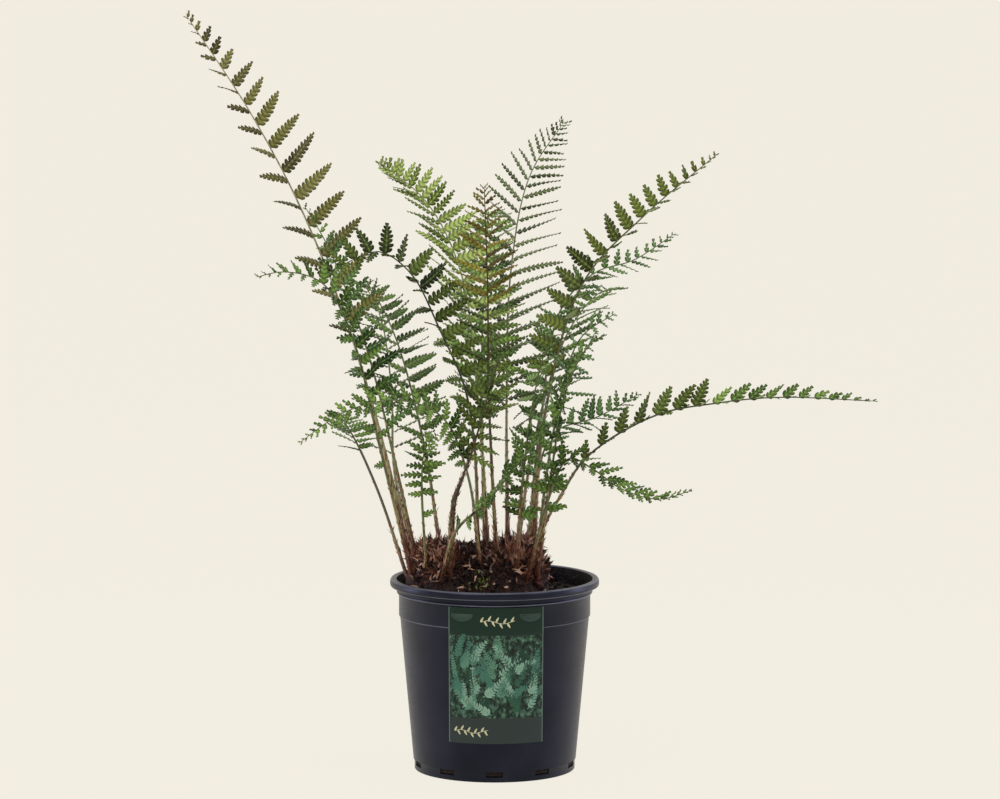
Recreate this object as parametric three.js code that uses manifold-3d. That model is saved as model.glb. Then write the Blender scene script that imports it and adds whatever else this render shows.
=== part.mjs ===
import * as THREE from 'three';
import { mergeVertices } from 'three/addons/utils/BufferGeometryUtils.js';
import Module from 'manifold-3d';

// Potted barnesii male fern in a nursery container, in millimetres, +Z up.
// The origin is on the pot's axis, in the plane that the pot stands on, and -Y is the front.

// Pot
const potHeight = 175;
const rimRadius = 95;
const lipHeight = 7;
const lipRound = 1.6;
const wall = 1.6;
const collarRadius = 88.2;
const beadRadius = 89;
const beadLevel = 162.5;
const beadHeight = 2.4;
const shoulderRadius = 87;
const stepLevel = 141;
const stepDepth = 1;
const wallFootRadius = 74;
const footRadius = 73;
const footHeight = 9;
const footWidth = 5;
const floorLift = 3;
const floorTop = 5;
const padRadius = 45;
const facets = 40;
const drainSlots = 10;
const drainWidth = 15;
const drainHeight = 5;
const drainLevel = 4.6;

// Soil and crown
const clearance = 0.35;
const soilLevel = 162;
const soilRelief = 2.6;
const soilRings = 6;
const crownCentre = [-16, 0];
const crownReach = [66, 50];
const crownHeight = 44;
const crownRings = 6;
const crownSides = 30;
const crownRelief = 6;
const crownDip = 0.2;
const scaleCount = 96;
const scaleLength = 17;
const scaleRadius = 3;

// Label
const labelWidth = 84.5;
const labelTurn = 1;
const labelBottom = 36;
const labelTop = 160.5;
const labelThickness = 0.8;
const labelBendLow = 133;
const labelBendHigh = 139;

// Fronds
const socketLength = 52;
const socketClearance = 0.4;
const stipeRadius = 1.9;
const rachisFoot = 1;
const rachisTip = 0.45;
const bladeEnd = 0.992;
const stipeSegments = 5;
const bladeThickness = 1.6;
const pinnaSweep = 20;
const pinnaDroop = 0.1;
const pinnaClearance = 3.1;
const crowding = 1.25;

// Each frond by hand: its route from foot to tip, the way its upper face looks, the share of
// the route that is bare stipe, its pairs of pinnae, its longest pinna, how far in degrees the
// two rows fold up towards each other, and how much of its space along the rachis a pinna fills.
// The fronds seen best come first.
const fronds = {
  frond_tall_left: {
    route: [[-73, 7, 168], [-98, 16, 280], [-132, 28, 398], [-177, 40, 510], [-223, 50, 596],
      [-282, 60, 685]],
    face: [0.4, -0.9, 0.2], bare: 0.33, pairs: 21, reach: 50, fold: 24, fill: 0.66,
  },
  frond_tall_centre: {
    route: [[12, 11, 168], [11, 30, 334], [15, 48, 452], [32, 62, 536], [65, 74, 587]],
    face: [0.1, -1, 0.1], bare: 0.36, pairs: 17, reach: 54, fold: 8, fill: 0.46,
  },
  frond_long_right: {
    route: [[30, -3, 168], [43, -5, 218], [59, -6, 249], [84, -10, 287], [145, -16, 325],
      [200, -23, 337], [254, -30, 343], [345, -44, 341]],
    face: [-0.1, -0.8, 0.6], bare: 0.28, pairs: 18, reach: 31, fold: 36, fill: 0.86,
  },
  frond_right_tall: {
    route: [[31, 4, 168], [48, 2, 337], [81, -4, 446], [134, -14, 505], [201, -26, 563]],
    face: [-0.45, -0.8, 0.4], bare: 0.42, pairs: 15, reach: 44, fold: 30, fill: 0.72,
  },
  frond_left_arch: {
    route: [[-12, -5, 168], [-24, -22, 340], [-49, -38, 405], [-75, -60, 458], [-103, -76, 478],
      [-132, -88, 468], [-156, -94, 456]],
    face: [0.2, -0.7, 0.7], bare: 0.4, pairs: 14, reach: 36, fold: 30, fill: 0.7,
  },
  frond_golden_upright: {
    route: [[3, -16, 168], [-5, -48, 343], [-6, -80, 444], [-9, -120, 541]],
    face: [0, -1, 0.5], bare: 0.36, pairs: 16, reach: 44, fold: 10, fill: 0.6,
  },
  frond_light_upright: {
    route: [[-4, 3, 168], [-15, 14, 336], [-30, 24, 449], [-60, 32, 512], [-106, 40, 552]],
    face: [0.1, -1, 0.2], bare: 0.42, pairs: 15, reach: 46, fold: 10, fill: 0.58,
  },
  frond_lower_left: {
    route: [[-9, -26, 168], [-25, -66, 282], [-48, -100, 335], [-87, -122, 351], [-131, -136, 342],
      [-172, -146, 315]],
    face: [0.1, -0.75, 0.7], bare: 0.36, pairs: 15, reach: 32, fold: 20, fill: 0.66,
  },
  frond_left_second: {
    route: [[-66, -9, 168], [-89, -22, 280], [-113, -34, 382], [-147, -46, 477], [-170, -52, 519]],
    face: [0.3, -1, 0.1], bare: 0.36, pairs: 14, reach: 46, fold: 12, fill: 0.62,
  },
  frond_lower_right: {
    route: [[27, -30, 168], [45, -60, 245], [66, -80, 294], [86, -93, 287], [112, -103, 270],
      [144, -112, 262], [175, -118, 271]],
    face: [0, -0.6, 0.8], bare: 0.4, pairs: 13, reach: 26, fold: 20, fill: 0.7,
  },
  frond_right_behind: {
    route: [[27, 24, 168], [42, 46, 310], [60, 64, 412], [92, 78, 446], [128, 87, 457], [168, 96, 482]],
    face: [-0.2, -1, 0.5], bare: 0.42, pairs: 13, reach: 36, fold: 16, fill: 0.6,
  },
  frond_left_front: {
    route: [[-72, -14, 168], [-102, -48, 298], [-126, -92, 405], [-151, -128, 455],
      [-183, -148, 466], [-208, -160, 462]],
    face: [0.2, -0.7, 0.75], bare: 0.38, pairs: 13, reach: 38, fold: 16, fill: 0.62,
  },
  frond_left_behind: {
    route: [[-70, 20, 168], [-92, 46, 267], [-95, 68, 340], [-106, 90, 406], [-123, 106, 437]],
    face: [0.2, -1, 0.2], bare: 0.42, pairs: 11, reach: 46, fold: 10, fill: 0.56,
  },
  frond_right_mid: {
    route: [[24, 14, 168], [38, 28, 259], [54, 42, 302], [95, 60, 315], [134, 74, 335]],
    face: [-0.1, -0.7, 0.8], bare: 0.36, pairs: 11, reach: 38, fold: 24, fill: 0.56,
  },
  frond_right_small: {
    route: [[34, -13, 168], [55, -34, 323], [76, -56, 398], [108, -78, 424]],
    face: [-0.2, -0.9, 0.5], bare: 0.44, pairs: 10, reach: 36, fold: 12, fill: 0.6,
  },
  frond_leftmost: {
    route: [[-77, -3, 168], [-100, 28, 233], [-122, 68, 279], [-138, 112, 301], [-149, 150, 309]],
    face: [0.3, -0.3, 1], bare: 0.62, pairs: 8, reach: 28, fold: 12, fill: 0.66,
  },
  frond_young_front: {
    route: [[-60, -22, 168], [-64, -42, 229], [-65, -56, 272], [-62, -72, 300], [-50, -92, 318]],
    face: [0.1, -1, 0.4], bare: 0.6, pairs: 6, reach: 19, fold: 10, fill: 0.66,
  },
  frond_scaly_front: {
    route: [[-40, -32, 168], [-38, -54, 243], [-20, -92, 301], [-4, -132, 362], [5, -170, 396]],
    face: [0.1, -0.7, 0.8], bare: 0.48, pairs: 10, reach: 36, fold: 14, fill: 0.62,
  },
  frond_cross_front: {
    route: [[-50, -33, 168], [-37, -58, 224], [-8, -80, 254], [31, -116, 306], [57, -154, 341]],
    face: [-0.2, -0.6, 0.9], bare: 0.42, pairs: 10, reach: 34, fold: 14, fill: 0.62,
  },
  frond_right_front: {
    route: [[36, -24, 168], [51, -60, 281], [63, -106, 358], [82, -150, 402], [96, -185, 415]],
    face: [0, -0.6, 0.9], bare: 0.4, pairs: 11, reach: 38, fold: 14, fill: 0.62,
  },
  frond_centre_front: {
    route: [[18, -28, 168], [26, -70, 282], [35, -120, 355], [44, -168, 398], [50, -200, 407]],
    face: [0, -0.6, 0.9], bare: 0.4, pairs: 11, reach: 38, fold: 14, fill: 0.62,
  },
  frond_back_left: {
    route: [[-45, 30, 168], [-66, 80, 290], [-92, 140, 378], [-118, 200, 420], [-138, 245, 425]],
    face: [0.2, -0.3, 1], bare: 0.36, pairs: 12, reach: 42, fold: 12, fill: 0.64,
  },
  frond_back_centre: {
    route: [[-8, 34, 168], [-12, 84, 320], [-10, 140, 424], [-2, 205, 480], [6, 255, 492]],
    face: [0, -0.4, 1], bare: 0.36, pairs: 13, reach: 44, fold: 12, fill: 0.64,
  },
  frond_back_right: {
    route: [[16, 33, 168], [38, 82, 296], [66, 138, 380], [98, 198, 416], [124, 238, 418]],
    face: [-0.2, -0.3, 1], bare: 0.36, pairs: 12, reach: 42, fold: 12, fill: 0.64,
  },
};

// Colours, as the photograph shows them
const finish = {
  pot: { color: 0x33343f, roughness: 0.45 },
  soil: { color: 0x211a17, roughness: 1 },
  crown: { color: 0x6b3f31, roughness: 0.95 },
  label: { color: 0x2c4a3a, roughness: 0.4 },
  leaf: { color: 0x5b7d45, roughness: 0.7 },
};

const wasm = await Module();
wasm.setup();

const vector = (x, y, z) => new THREE.Vector3(x, y, z);
const radians = THREE.MathUtils.degToRad;
const blend = (a, shareA, b, shareB) => a.clone().multiplyScalar(shareA).addScaledVector(b, shareB);

function seededRandom(seed) {
  let state = seed;
  return () => {
    state = (state * 1664525 + 1013904223) % 4294967296;
    return state / 4294967296;
  };
}

function geometryFrom(points, triangles) {
  const geometry = new THREE.BufferGeometry();
  const flat = points.flatMap((p) => [p.x, p.y, p.z]);
  geometry.setAttribute('position', new THREE.Float32BufferAttribute(flat, 3));
  geometry.setIndex(triangles.flat());
  return geometry;
}

function toSolid(geometry) {
  const bare = geometry.clone();
  bare.deleteAttribute('normal');
  bare.deleteAttribute('uv');
  const merged = mergeVertices(bare, 1e-4);
  return new wasm.Manifold(new wasm.Mesh({
    numProp: 3,
    vertProperties: new Float32Array(merged.attributes.position.array),
    triVerts: new Uint32Array(merged.index.array),
  }));
}

function fromSolid(solid) {
  const mesh = solid.getMesh();
  const geometry = new THREE.BufferGeometry();
  geometry.setAttribute('position', new THREE.BufferAttribute(mesh.vertProperties, 3));
  geometry.setIndex(Array.from(mesh.triVerts));
  return geometry;
}

function largestBody(solid) {
  return solid.decompose().reduce((a, b) => (a.volume() > b.volume() ? a : b));
}

// Radius of the pot's outer wall below the collar
function wallRadius(z) {
  if (z > stepLevel) return shoulderRadius;
  const climb = (z - footHeight) / (stepLevel - footHeight);
  return THREE.MathUtils.lerp(wallFootRadius, shoulderRadius - stepDepth, climb);
}

// Radius at an angle of the faceted ring whose corners lie on a circle of the given radius
function facetRadius(radius, angle) {
  const step = (2 * Math.PI) / facets;
  const within = ((angle % step) + step) % step;
  return (radius * Math.cos(step / 2)) / Math.cos(within - step / 2);
}

// A ring of points of the pot's facets turned about the axis
function lathe(profile) {
  const outline = profile.map(([r, z]) => new THREE.Vector2(r, z));
  const geometry = new THREE.LatheGeometry(outline, facets);
  geometry.rotateX(Math.PI / 2);
  return geometry;
}

function makePot() {
  const lipFoot = potHeight - lipHeight;
  const innerTop = shoulderRadius - wall;
  const innerFoot = wallFootRadius - wall;
  const body = toSolid(lathe([
    [0, 0],
    [padRadius, 0],
    [padRadius + floorLift, floorLift],
    [footRadius - footWidth, floorLift],
    [footRadius - footWidth, 0],
    [footRadius, 0],
    [footRadius, footHeight],
    [wallFootRadius, footHeight],
    [shoulderRadius - stepDepth, stepLevel],
    [shoulderRadius, stepLevel],
    [shoulderRadius, beadLevel - beadHeight / 2],
    [beadRadius, beadLevel],
    [collarRadius, beadLevel + beadHeight / 2],
    [collarRadius, lipFoot],
    [rimRadius, lipFoot],
    [rimRadius, potHeight - lipRound],
    [rimRadius - lipRound, potHeight],
    [collarRadius + lipRound, potHeight],
    [innerTop, lipFoot],
    [innerTop - stepDepth, stepLevel],
    [innerFoot, floorTop],
    [0, floorTop],
  ]));
  const middle = footRadius - footWidth / 2;
  const slots = Array.from({ length: drainSlots }, (_, i) => {
    const slot = new THREE.BoxGeometry(2 * footWidth, drainWidth, drainHeight);
    slot.translate(middle, 0, drainLevel + drainHeight / 2);
    slot.rotateZ(((i + 0.5) / drainSlots) * 2 * Math.PI);
    return toSolid(slot);
  });
  return fromSolid(slots.reduce((pot, slot) => pot.subtract(slot), body));
}

// How far out a point lies in the crown's oval footprint: 1 at its edge
function crownShare(x, y) {
  return Math.hypot((x - crownCentre[0]) / crownReach[0], (y - crownCentre[1]) / crownReach[1]);
}

function makeSoil() {
  const random = seededRandom(11);
  const outer = shoulderRadius - wall - stepDepth - clearance;
  const foot = wallFootRadius - wall - clearance;
  const points = [];
  const triangles = [];
  const rings = Array.from({ length: soilRings }, (_, i) => outer * ((i + 1) / soilRings) ** 0.9);
  points.push(vector(0, 0, soilLevel));
  for (const radius of rings) {
    for (let i = 0; i < facets; i += 1) {
      const angle = (i / facets) * 2 * Math.PI;
      const x = radius * Math.cos(angle);
      const y = radius * Math.sin(angle);
      const open = crownShare(x, y) > 1.3 && radius < outer;
      const z = soilLevel + (open ? soilRelief * (1.4 * random() - 0.7) : 0);
      points.push(vector(x, y, z));
    }
  }
  for (const [radius, z] of [[outer, stepLevel], [foot, floorTop + clearance]]) {
    for (let i = 0; i < facets; i += 1) {
      const angle = (i / facets) * 2 * Math.PI;
      points.push(vector(radius * Math.cos(angle), radius * Math.sin(angle), z));
    }
  }
  points.push(vector(0, 0, floorTop + clearance));
  closeRings(points, triangles, soilRings + 2, facets);
  return geometryFrom(points, triangles);
}

// Faces between a pole, rings of equal count and a second pole, turned outwards
function closeRings(points, triangles, ringCount, count) {
  const at = (ring, i) => 1 + ring * count + (i % count);
  for (let i = 0; i < count; i += 1) {
    triangles.push([0, at(0, i), at(0, i + 1)]);
    for (let ring = 0; ring + 1 < ringCount; ring += 1) {
      triangles.push([at(ring, i), at(ring + 1, i), at(ring + 1, i + 1)]);
      triangles.push([at(ring, i), at(ring + 1, i + 1), at(ring, i + 1)]);
    }
    triangles.push([at(ringCount - 1, i), points.length - 1, at(ringCount - 1, i + 1)]);
  }
}

// Height of the crown over its flat foot: steep at the edge, and lower between its two humps
function crownTop(x, y) {
  const humps = 1 - crownDip * Math.cos((Math.PI * (x - crownCentre[0])) / crownReach[0]);
  return crownHeight * humps * (1 - Math.min(crownShare(x, y), 1) ** 4) ** 0.55;
}

// The crown: a knobbly mound with ragged scales sunk into it and a socket for each stipe
function makeCrown(stipes) {
  const random = seededRandom(5);
  const bottom = soilLevel + clearance;
  const points = [vector(crownCentre[0], crownCentre[1], bottom + crownTop(...crownCentre))];
  const triangles = [];
  for (let ring = 1; ring <= crownRings; ring += 1) {
    const share = (ring / crownRings) ** 0.8;
    for (let i = 0; i < crownSides; i += 1) {
      const angle = ((i + 0.5 * (ring % 2)) / crownSides) * 2 * Math.PI;
      const x = crownCentre[0] + crownReach[0] * share * Math.cos(angle);
      const y = crownCentre[1] + crownReach[1] * share * Math.sin(angle);
      const knob = ring < crownRings ? crownRelief * (2 * random() - 1) : 0;
      points.push(vector(x, y, bottom + Math.max(0, crownTop(x, y) + knob)));
    }
  }
  points.push(vector(crownCentre[0], crownCentre[1], bottom));
  closeRings(points, triangles, crownRings, crownSides);
  let crown = toSolid(geometryFrom(points, triangles));
  for (let i = 0; i < scaleCount; i += 1) {
    const angle = i * 2.399963;
    const share = 0.95 * Math.sqrt((i + 0.5) / scaleCount);
    const x = crownCentre[0] + crownReach[0] * share * Math.cos(angle);
    const y = crownCentre[1] + crownReach[1] * share * Math.sin(angle);
    const leanX = 0.7 * Math.cos(angle) * share + random() - 0.5;
    const leanY = 0.7 * Math.sin(angle) * share + random() - 0.5;
    const lean = vector(leanX, leanY, 1).normalize();
    const length = scaleLength * (0.7 + 0.6 * random());
    const scale = new THREE.ConeGeometry(scaleRadius, 2 * length, 3);
    scale.rotateX(Math.PI / 2);
    scale.applyQuaternion(new THREE.Quaternion().setFromUnitVectors(vector(0, 0, 1), lean));
    scale.translate(x, y, bottom + crownTop(x, y) - 2);
    crown = crown.add(toSolid(scale));
  }
  const floor = new THREE.BoxGeometry(400, 400, 60);
  floor.translate(0, 0, bottom - 30);
  crown = crown.subtract(toSolid(floor));
  for (const stipe of stipes) crown = crown.subtract(toSolid(socketGeometry(stipe)));
  return fromSolid(largestBody(crown));
}

// A little diamond prism round the straight foot of a stipe
function socketGeometry({ foot, along, side, up }) {
  const reach = stipeRadius + socketClearance * Math.SQRT2;
  const points = [-clearance, socketLength + 1].flatMap((distance) => {
    const centre = foot.clone().addScaledVector(along, distance);
    return diamond(centre, side, up, reach);
  });
  const triangles = [[0, 1, 2], [0, 2, 3], [4, 6, 5], [4, 7, 6]];
  for (let i = 0; i < 4; i += 1) {
    const next = (i + 1) % 4;
    triangles.push([i, 4 + next, next], [i, 4 + i, 4 + next]);
  }
  return geometryFrom(points, triangles);
}

function diamond(centre, side, up, reach) {
  return [[0, 1], [-1, 0], [0, -1], [1, 0]].map(([a, b]) => (
    centre.clone().addScaledVector(side, a * reach).addScaledVector(up, b * reach)
  ));
}

// The label: a thin sheet that follows the pot's facets, tucked under the bead
function makeLabel() {
  const half = Math.asin(labelWidth / 2 / wallRadius(stepLevel));
  const step = (2 * Math.PI) / facets;
  const left = radians(labelTurn) - half;
  const right = radians(labelTurn) + half;
  const turns = [left];
  for (let k = Math.ceil(left / step); k * step < right; k += 1) turns.push(k * step);
  turns.push(right);
  const levels = [labelBottom, labelBendLow, labelBendHigh, labelTop];
  const radii = levels.map((z) => (z < labelBendHigh ? wallRadius(z) : shoulderRadius) + clearance);
  const points = [];
  for (const lift of [0, labelThickness]) {
    for (const [row, z] of levels.entries()) {
      for (const turn of turns) {
        const radius = facetRadius(radii[row] + lift, turn);
        points.push(vector(radius * Math.sin(turn), -radius * Math.cos(turn), z));
      }
    }
  }
  const columns = turns.length;
  const back = (row, column) => row * columns + column;
  const front = (row, column) => levels.length * columns + back(row, column);
  const triangles = [];
  const quad = (a, b, c, d) => triangles.push([a, b, c], [a, c, d]);
  for (let row = 0; row + 1 < levels.length; row += 1) {
    for (let column = 0; column + 1 < columns; column += 1) {
      quad(front(row, column), front(row, column + 1), front(row + 1, column + 1), front(row + 1, column));
      quad(back(row, column + 1), back(row, column), back(row + 1, column), back(row + 1, column + 1));
    }
    quad(back(row, 0), front(row, 0), front(row + 1, 0), back(row + 1, 0));
    const last = columns - 1;
    quad(front(row, last), back(row, last), back(row + 1, last), front(row + 1, last));
  }
  for (let column = 0; column + 1 < columns; column += 1) {
    const top = levels.length - 1;
    quad(back(0, column), back(0, column + 1), front(0, column + 1), front(0, column));
    quad(front(top, column), front(top, column + 1), back(top, column + 1), back(top, column));
  }
  return geometryFrom(points, triangles);
}

// Centreline of a frond with its sideways and upward directions
function frondLine({ route, face }) {
  const curve = new THREE.CatmullRomCurve3(route.map((p) => vector(...p)), false, 'centripetal');
  const length = curve.getLength();
  const frameAt = (share) => {
    const along = curve.getTangentAt(share);
    const up = vector(...face).addScaledVector(along, -vector(...face).dot(along)).normalize();
    return { centre: curve.getPointAt(share), along, up, side: along.clone().cross(up) };
  };
  return { length, frameAt };
}

// Size of a pinna against the longest one, from the blade's foot (0) to its tip (1)
function pinnaSize(share) {
  const foot = 0.66 + 0.34 * Math.min(1, share / 0.2);
  return foot * Math.max(0.14, (1 - share ** 2.2) ** 0.85);
}

// A pinna between two cross-sections of the rachis, as named points of its toothed outline
function pinnaPoints(frame, rootA, rootB, hand, length, width, lift) {
  const sweep = radians(pinnaSweep);
  const out = blend(frame.side, hand * Math.cos(lift), frame.up, Math.sin(lift));
  const along = blend(out, Math.cos(sweep), frame.along, Math.sin(sweep));
  const across = blend(frame.along, Math.cos(sweep), out, -Math.sin(sweep));
  const normal = blend(frame.up, Math.cos(lift), frame.side, -hand * Math.sin(lift));
  const root = rootA.clone().lerp(rootB, 0.5);
  const at = (a, b, rise) => root.clone()
    .addScaledVector(along, a * length)
    .addScaledVector(across, b * width)
    .addScaledVector(normal, rise);
  const half = Math.min(bladeThickness / 2, 0.1 + 0.08 * width);
  const sag = -pinnaDroop * length;
  return {
    outline: [
      at(0.2, -0.5, 0),
      at(0.46, -0.24, 0.3 * sag),
      at(0.58, -0.4, 0.4 * sag),
      at(1, 0, sag),
      at(0.3, 0.5, 0),
    ],
    top: at(0.28, 0, half),
    bottom: at(0.28, 0, -half),
    middle: at(0.28, 0, 0),
  };
}

// Points spread over a pinna and flat faces of it, to keep it clear of other fronds
function pinnaShadow({ outline, middle }, rootA, rootB) {
  const rim = [rootA, ...outline, rootB];
  const faces = rim.map((p, i) => new THREE.Triangle(p, rim[(i + 1) % rim.length], middle));
  const spots = [middle];
  for (const p of rim) {
    spots.push(p, p.clone().lerp(middle, 0.5));
  }
  const tip = outline[3];
  for (const share of [0.2, 0.4, 0.6, 0.8]) {
    spots.push(middle.clone().lerp(tip, share));
    spots.push(outline[4].clone().lerp(tip, share));
    spots.push(outline[0].clone().lerp(tip, share));
  }
  const box = new THREE.Box3().setFromPoints(rim).expandByScalar(pinnaClearance);
  return { faces, spots, box };
}

function crosses(shadow, others, rods) {
  const near = vector(0, 0, 0);
  for (const other of others) {
    if (!shadow.box.intersectsBox(other.box)) continue;
    for (const spot of shadow.spots) {
      for (const face of other.faces) {
        if (face.closestPointToPoint(spot, near).distanceTo(spot) < pinnaClearance) return true;
      }
    }
  }
  for (const { line, box } of rods) {
    if (!shadow.box.intersectsBox(box)) continue;
    for (const spot of shadow.spots) {
      if (line.closestPointToPoint(spot, true, near).distanceTo(spot) < pinnaClearance) return true;
    }
  }
  return false;
}

// Ways to bend a pinna clear of its neighbours: degrees of lift and share of its length
const bends = [
  [0, 1], [20, 1], [-20, 1], [40, 1], [-40, 1], [0, 0.75], [30, 0.75], [-30, 0.75],
  [50, 0.75], [-50, 0.75], [0, 0.5], [35, 0.5], [-35, 0.5], [0, 0.3], [40, 0.3], [-40, 0.3], [0, 0.16],
];

// Cross-sections of a frond: a straight foot in its socket, the curved stipe, then the rachis
function frondSections(frond) {
  const { length, frameAt } = frondLine(frond);
  const foot = frameAt(0);
  const straightEnd = socketLength / length;
  const straightTop = foot.centre.clone().addScaledVector(foot.along, socketLength);
  const sections = [{ ...foot, reach: stipeRadius }, { ...foot, centre: straightTop, reach: stipeRadius }];
  for (let i = 1; i < stipeSegments; i += 1) {
    const share = THREE.MathUtils.lerp(straightEnd, frond.bare, i / stipeSegments);
    const reach = THREE.MathUtils.lerp(stipeRadius, rachisFoot, i / stipeSegments);
    sections.push({ ...frameAt(share), reach });
  }
  const bladeStart = sections.length;
  for (let i = 0; i <= frond.pairs; i += 1) {
    const share = 1 - (1 - i / frond.pairs) ** crowding;
    const place = THREE.MathUtils.lerp(frond.bare, bladeEnd, share);
    const reach = THREE.MathUtils.lerp(rachisFoot, rachisTip, share);
    sections.push({ ...frameAt(place), reach, share });
  }
  return { sections, bladeStart, tip: frameAt(1).centre };
}

function rodsOf({ sections }) {
  return sections.slice(1).map((section, i) => {
    const line = new THREE.Line3(sections[i].centre, section.centre);
    return { line, box: new THREE.Box3().setFromPoints([line.start, line.end]) };
  });
}

function makeFrond(frond, { sections, bladeStart, tip }, others, rods, random) {
  const points = sections.flatMap(({ centre, side, up, reach }) => diamond(centre, side, up, reach));
  const triangles = [[0, 1, 2], [0, 2, 3]];
  const corner = (section, i) => section * 4 + (i % 4);
  for (let s = 0; s < bladeStart; s += 1) {
    for (let i = 0; i < 4; i += 1) {
      triangles.push([corner(s, i), corner(s + 1, i + 1), corner(s, i + 1)]);
      triangles.push([corner(s, i), corner(s + 1, i), corner(s + 1, i + 1)]);
    }
  }
  const shadows = [];
  for (let s = bladeStart; s + 1 < sections.length; s += 1) {
    const span = sections[s].centre.distanceTo(sections[s + 1].centre);
    const share = (sections[s].share + sections[s + 1].share) / 2;
    for (const hand of [-1, 1]) {
      const edge = hand < 0 ? 1 : 3;
      const rootA = points[corner(s, edge)];
      const rootB = points[corner(s + 1, edge)];
      const length = frond.reach * pinnaSize(share) * (0.92 + 0.16 * random());
      const wave = 12 * random() - 6;
      let pinna;
      let shadow;
      for (const [lift, cut] of bends) {
        const angle = radians(frond.fold + wave + lift);
        pinna = pinnaPoints(sections[s], rootA, rootB, hand, length * cut, span * frond.fill, angle);
        shadow = pinnaShadow(pinna, rootA, rootB);
        if (!crosses(shadow, others, rods)) break;
      }
      shadows.push(shadow);
      addPinna(points, triangles, pinna, corner(s, 0), corner(s + 1, 0), hand);
    }
  }
  const end = sections.length - 1;
  points.push(tip);
  for (let i = 0; i < 4; i += 1) {
    triangles.push([corner(end, i + 1), corner(end, i), points.length - 1]);
  }
  return { geometry: geometryFrom(points, triangles), shadows };
}

// Upper and lower faces of one pinna, both fans round its middle over one shared outline
function addPinna(points, triangles, { outline, top, bottom }, a, b, hand) {
  const first = points.length;
  points.push(...outline, top, bottom);
  const edge = hand < 0 ? 1 : 3;
  const rim = outline.map((_, i) => first + i);
  const upper = [a, a + edge, ...rim, b + edge, b];
  const lower = [a + 2, a + edge, ...rim, b + edge, b + 2];
  for (let i = 0; i < upper.length; i += 1) {
    const next = (i + 1) % upper.length;
    const over = [upper[i], upper[next], first + outline.length];
    const under = [lower[next], lower[i], first + outline.length + 1];
    triangles.push(hand > 0 ? over : over.reverse());
    triangles.push(hand > 0 ? under : under.reverse());
  }
}

const fern = new THREE.Group();

function place(name, geometry, { color, roughness }) {
  const material = new THREE.MeshStandardMaterial({ color, roughness, metalness: 0 });
  const mesh = new THREE.Mesh(geometry, material);
  mesh.name = name;
  fern.add(mesh);
}

const bodies = Object.entries(fronds).map(([name, frond]) => ({ name, frond, body: frondSections(frond) }));

place('pot', makePot(), finish.pot);
place('soil', makeSoil(), finish.soil);
place('label', makeLabel(), finish.label);
const stipes = bodies.map(({ body: { sections: [foot] } }) => ({ foot: foot.centre, ...foot }));
place('crown', makeCrown(stipes), finish.crown);

const random = seededRandom(3);
const grown = [];
for (const { name, frond, body } of bodies) {
  const rods = bodies.filter((other) => other.name !== name).flatMap((other) => rodsOf(other.body));
  const { geometry, shadows } = makeFrond(frond, body, grown, rods, random);
  grown.push(...shadows);
  place(name, geometry, finish.leaf);
}

export default fern;
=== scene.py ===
import math
import random

import bmesh
import bpy
import numpy as np
from mathutils import Matrix, Vector, noise


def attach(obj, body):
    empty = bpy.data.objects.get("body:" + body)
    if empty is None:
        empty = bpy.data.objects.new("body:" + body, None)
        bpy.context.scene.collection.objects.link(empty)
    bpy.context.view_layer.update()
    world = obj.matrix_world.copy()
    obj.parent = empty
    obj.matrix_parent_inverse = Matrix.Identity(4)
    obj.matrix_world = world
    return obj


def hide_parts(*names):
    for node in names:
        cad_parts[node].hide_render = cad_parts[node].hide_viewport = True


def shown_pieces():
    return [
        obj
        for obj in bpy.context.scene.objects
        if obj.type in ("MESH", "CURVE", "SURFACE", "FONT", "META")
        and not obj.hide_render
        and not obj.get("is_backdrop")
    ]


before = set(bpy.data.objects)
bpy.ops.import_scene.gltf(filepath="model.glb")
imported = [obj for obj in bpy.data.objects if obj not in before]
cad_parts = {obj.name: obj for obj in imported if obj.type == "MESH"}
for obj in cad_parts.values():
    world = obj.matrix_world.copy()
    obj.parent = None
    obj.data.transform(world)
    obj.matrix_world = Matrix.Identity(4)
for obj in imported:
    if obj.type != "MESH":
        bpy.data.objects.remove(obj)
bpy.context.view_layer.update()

# Potted male fern in a nursery container. Metres, +Z up, the pot stands on z = 0, -Y is the front.
mm = 0.001
mergeDistance = 1e-6
weldDistance = 1e-5      # in templates, which are 1 long
sharpAngle = math.radians(40)
goldenAngle = 2.399963


def linearColour(hexText):
    channels = [int(hexText[i:i + 2], 16) / 255 for i in (1, 3, 5)]
    linear = [c / 12.92 if c <= 0.04045 else ((c + 0.055) / 1.055) ** 2.4 for c in channels]
    return (*linear, 1)


def setSocket(material, socket, value):
    # A node (its first output) or an output is linked, hex text is a colour, anything else a value
    if isinstance(value, bpy.types.Node):
        value = value.outputs[0]
    if isinstance(value, bpy.types.NodeSocket):
        material.node_tree.links.new(value, socket)
    else:
        socket.default_value = linearColour(value) if isinstance(value, str) else value


def addNode(material, kind, inputs=None, stops=None, **settings):
    # Stops are a ramp's (place, hex colour) pairs
    node = material.node_tree.nodes.new("ShaderNode" + kind)
    for name, value in settings.items():
        setattr(node, name, value)
    for key, value in (inputs or {}).items():
        setSocket(material, node.inputs[key], value)
    if stops:
        elements = node.color_ramp.elements
        while len(elements) < len(stops):
            elements.new(0.5)
        for element, (place, colour) in zip(elements, stops):
            element.position = place
            element.color = linearColour(colour)
    return node


def setFinish(material, finish):
    # Values, colours and nodes for the shader's own sockets
    shader = material.node_tree.nodes["Principled BSDF"]
    for name, value in finish.items():
        setSocket(material, shader.inputs[name], value)


def newMaterial(name, finish):
    material = bpy.data.materials.new(name)
    material.use_nodes = True
    setFinish(material, finish)
    return material


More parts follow.
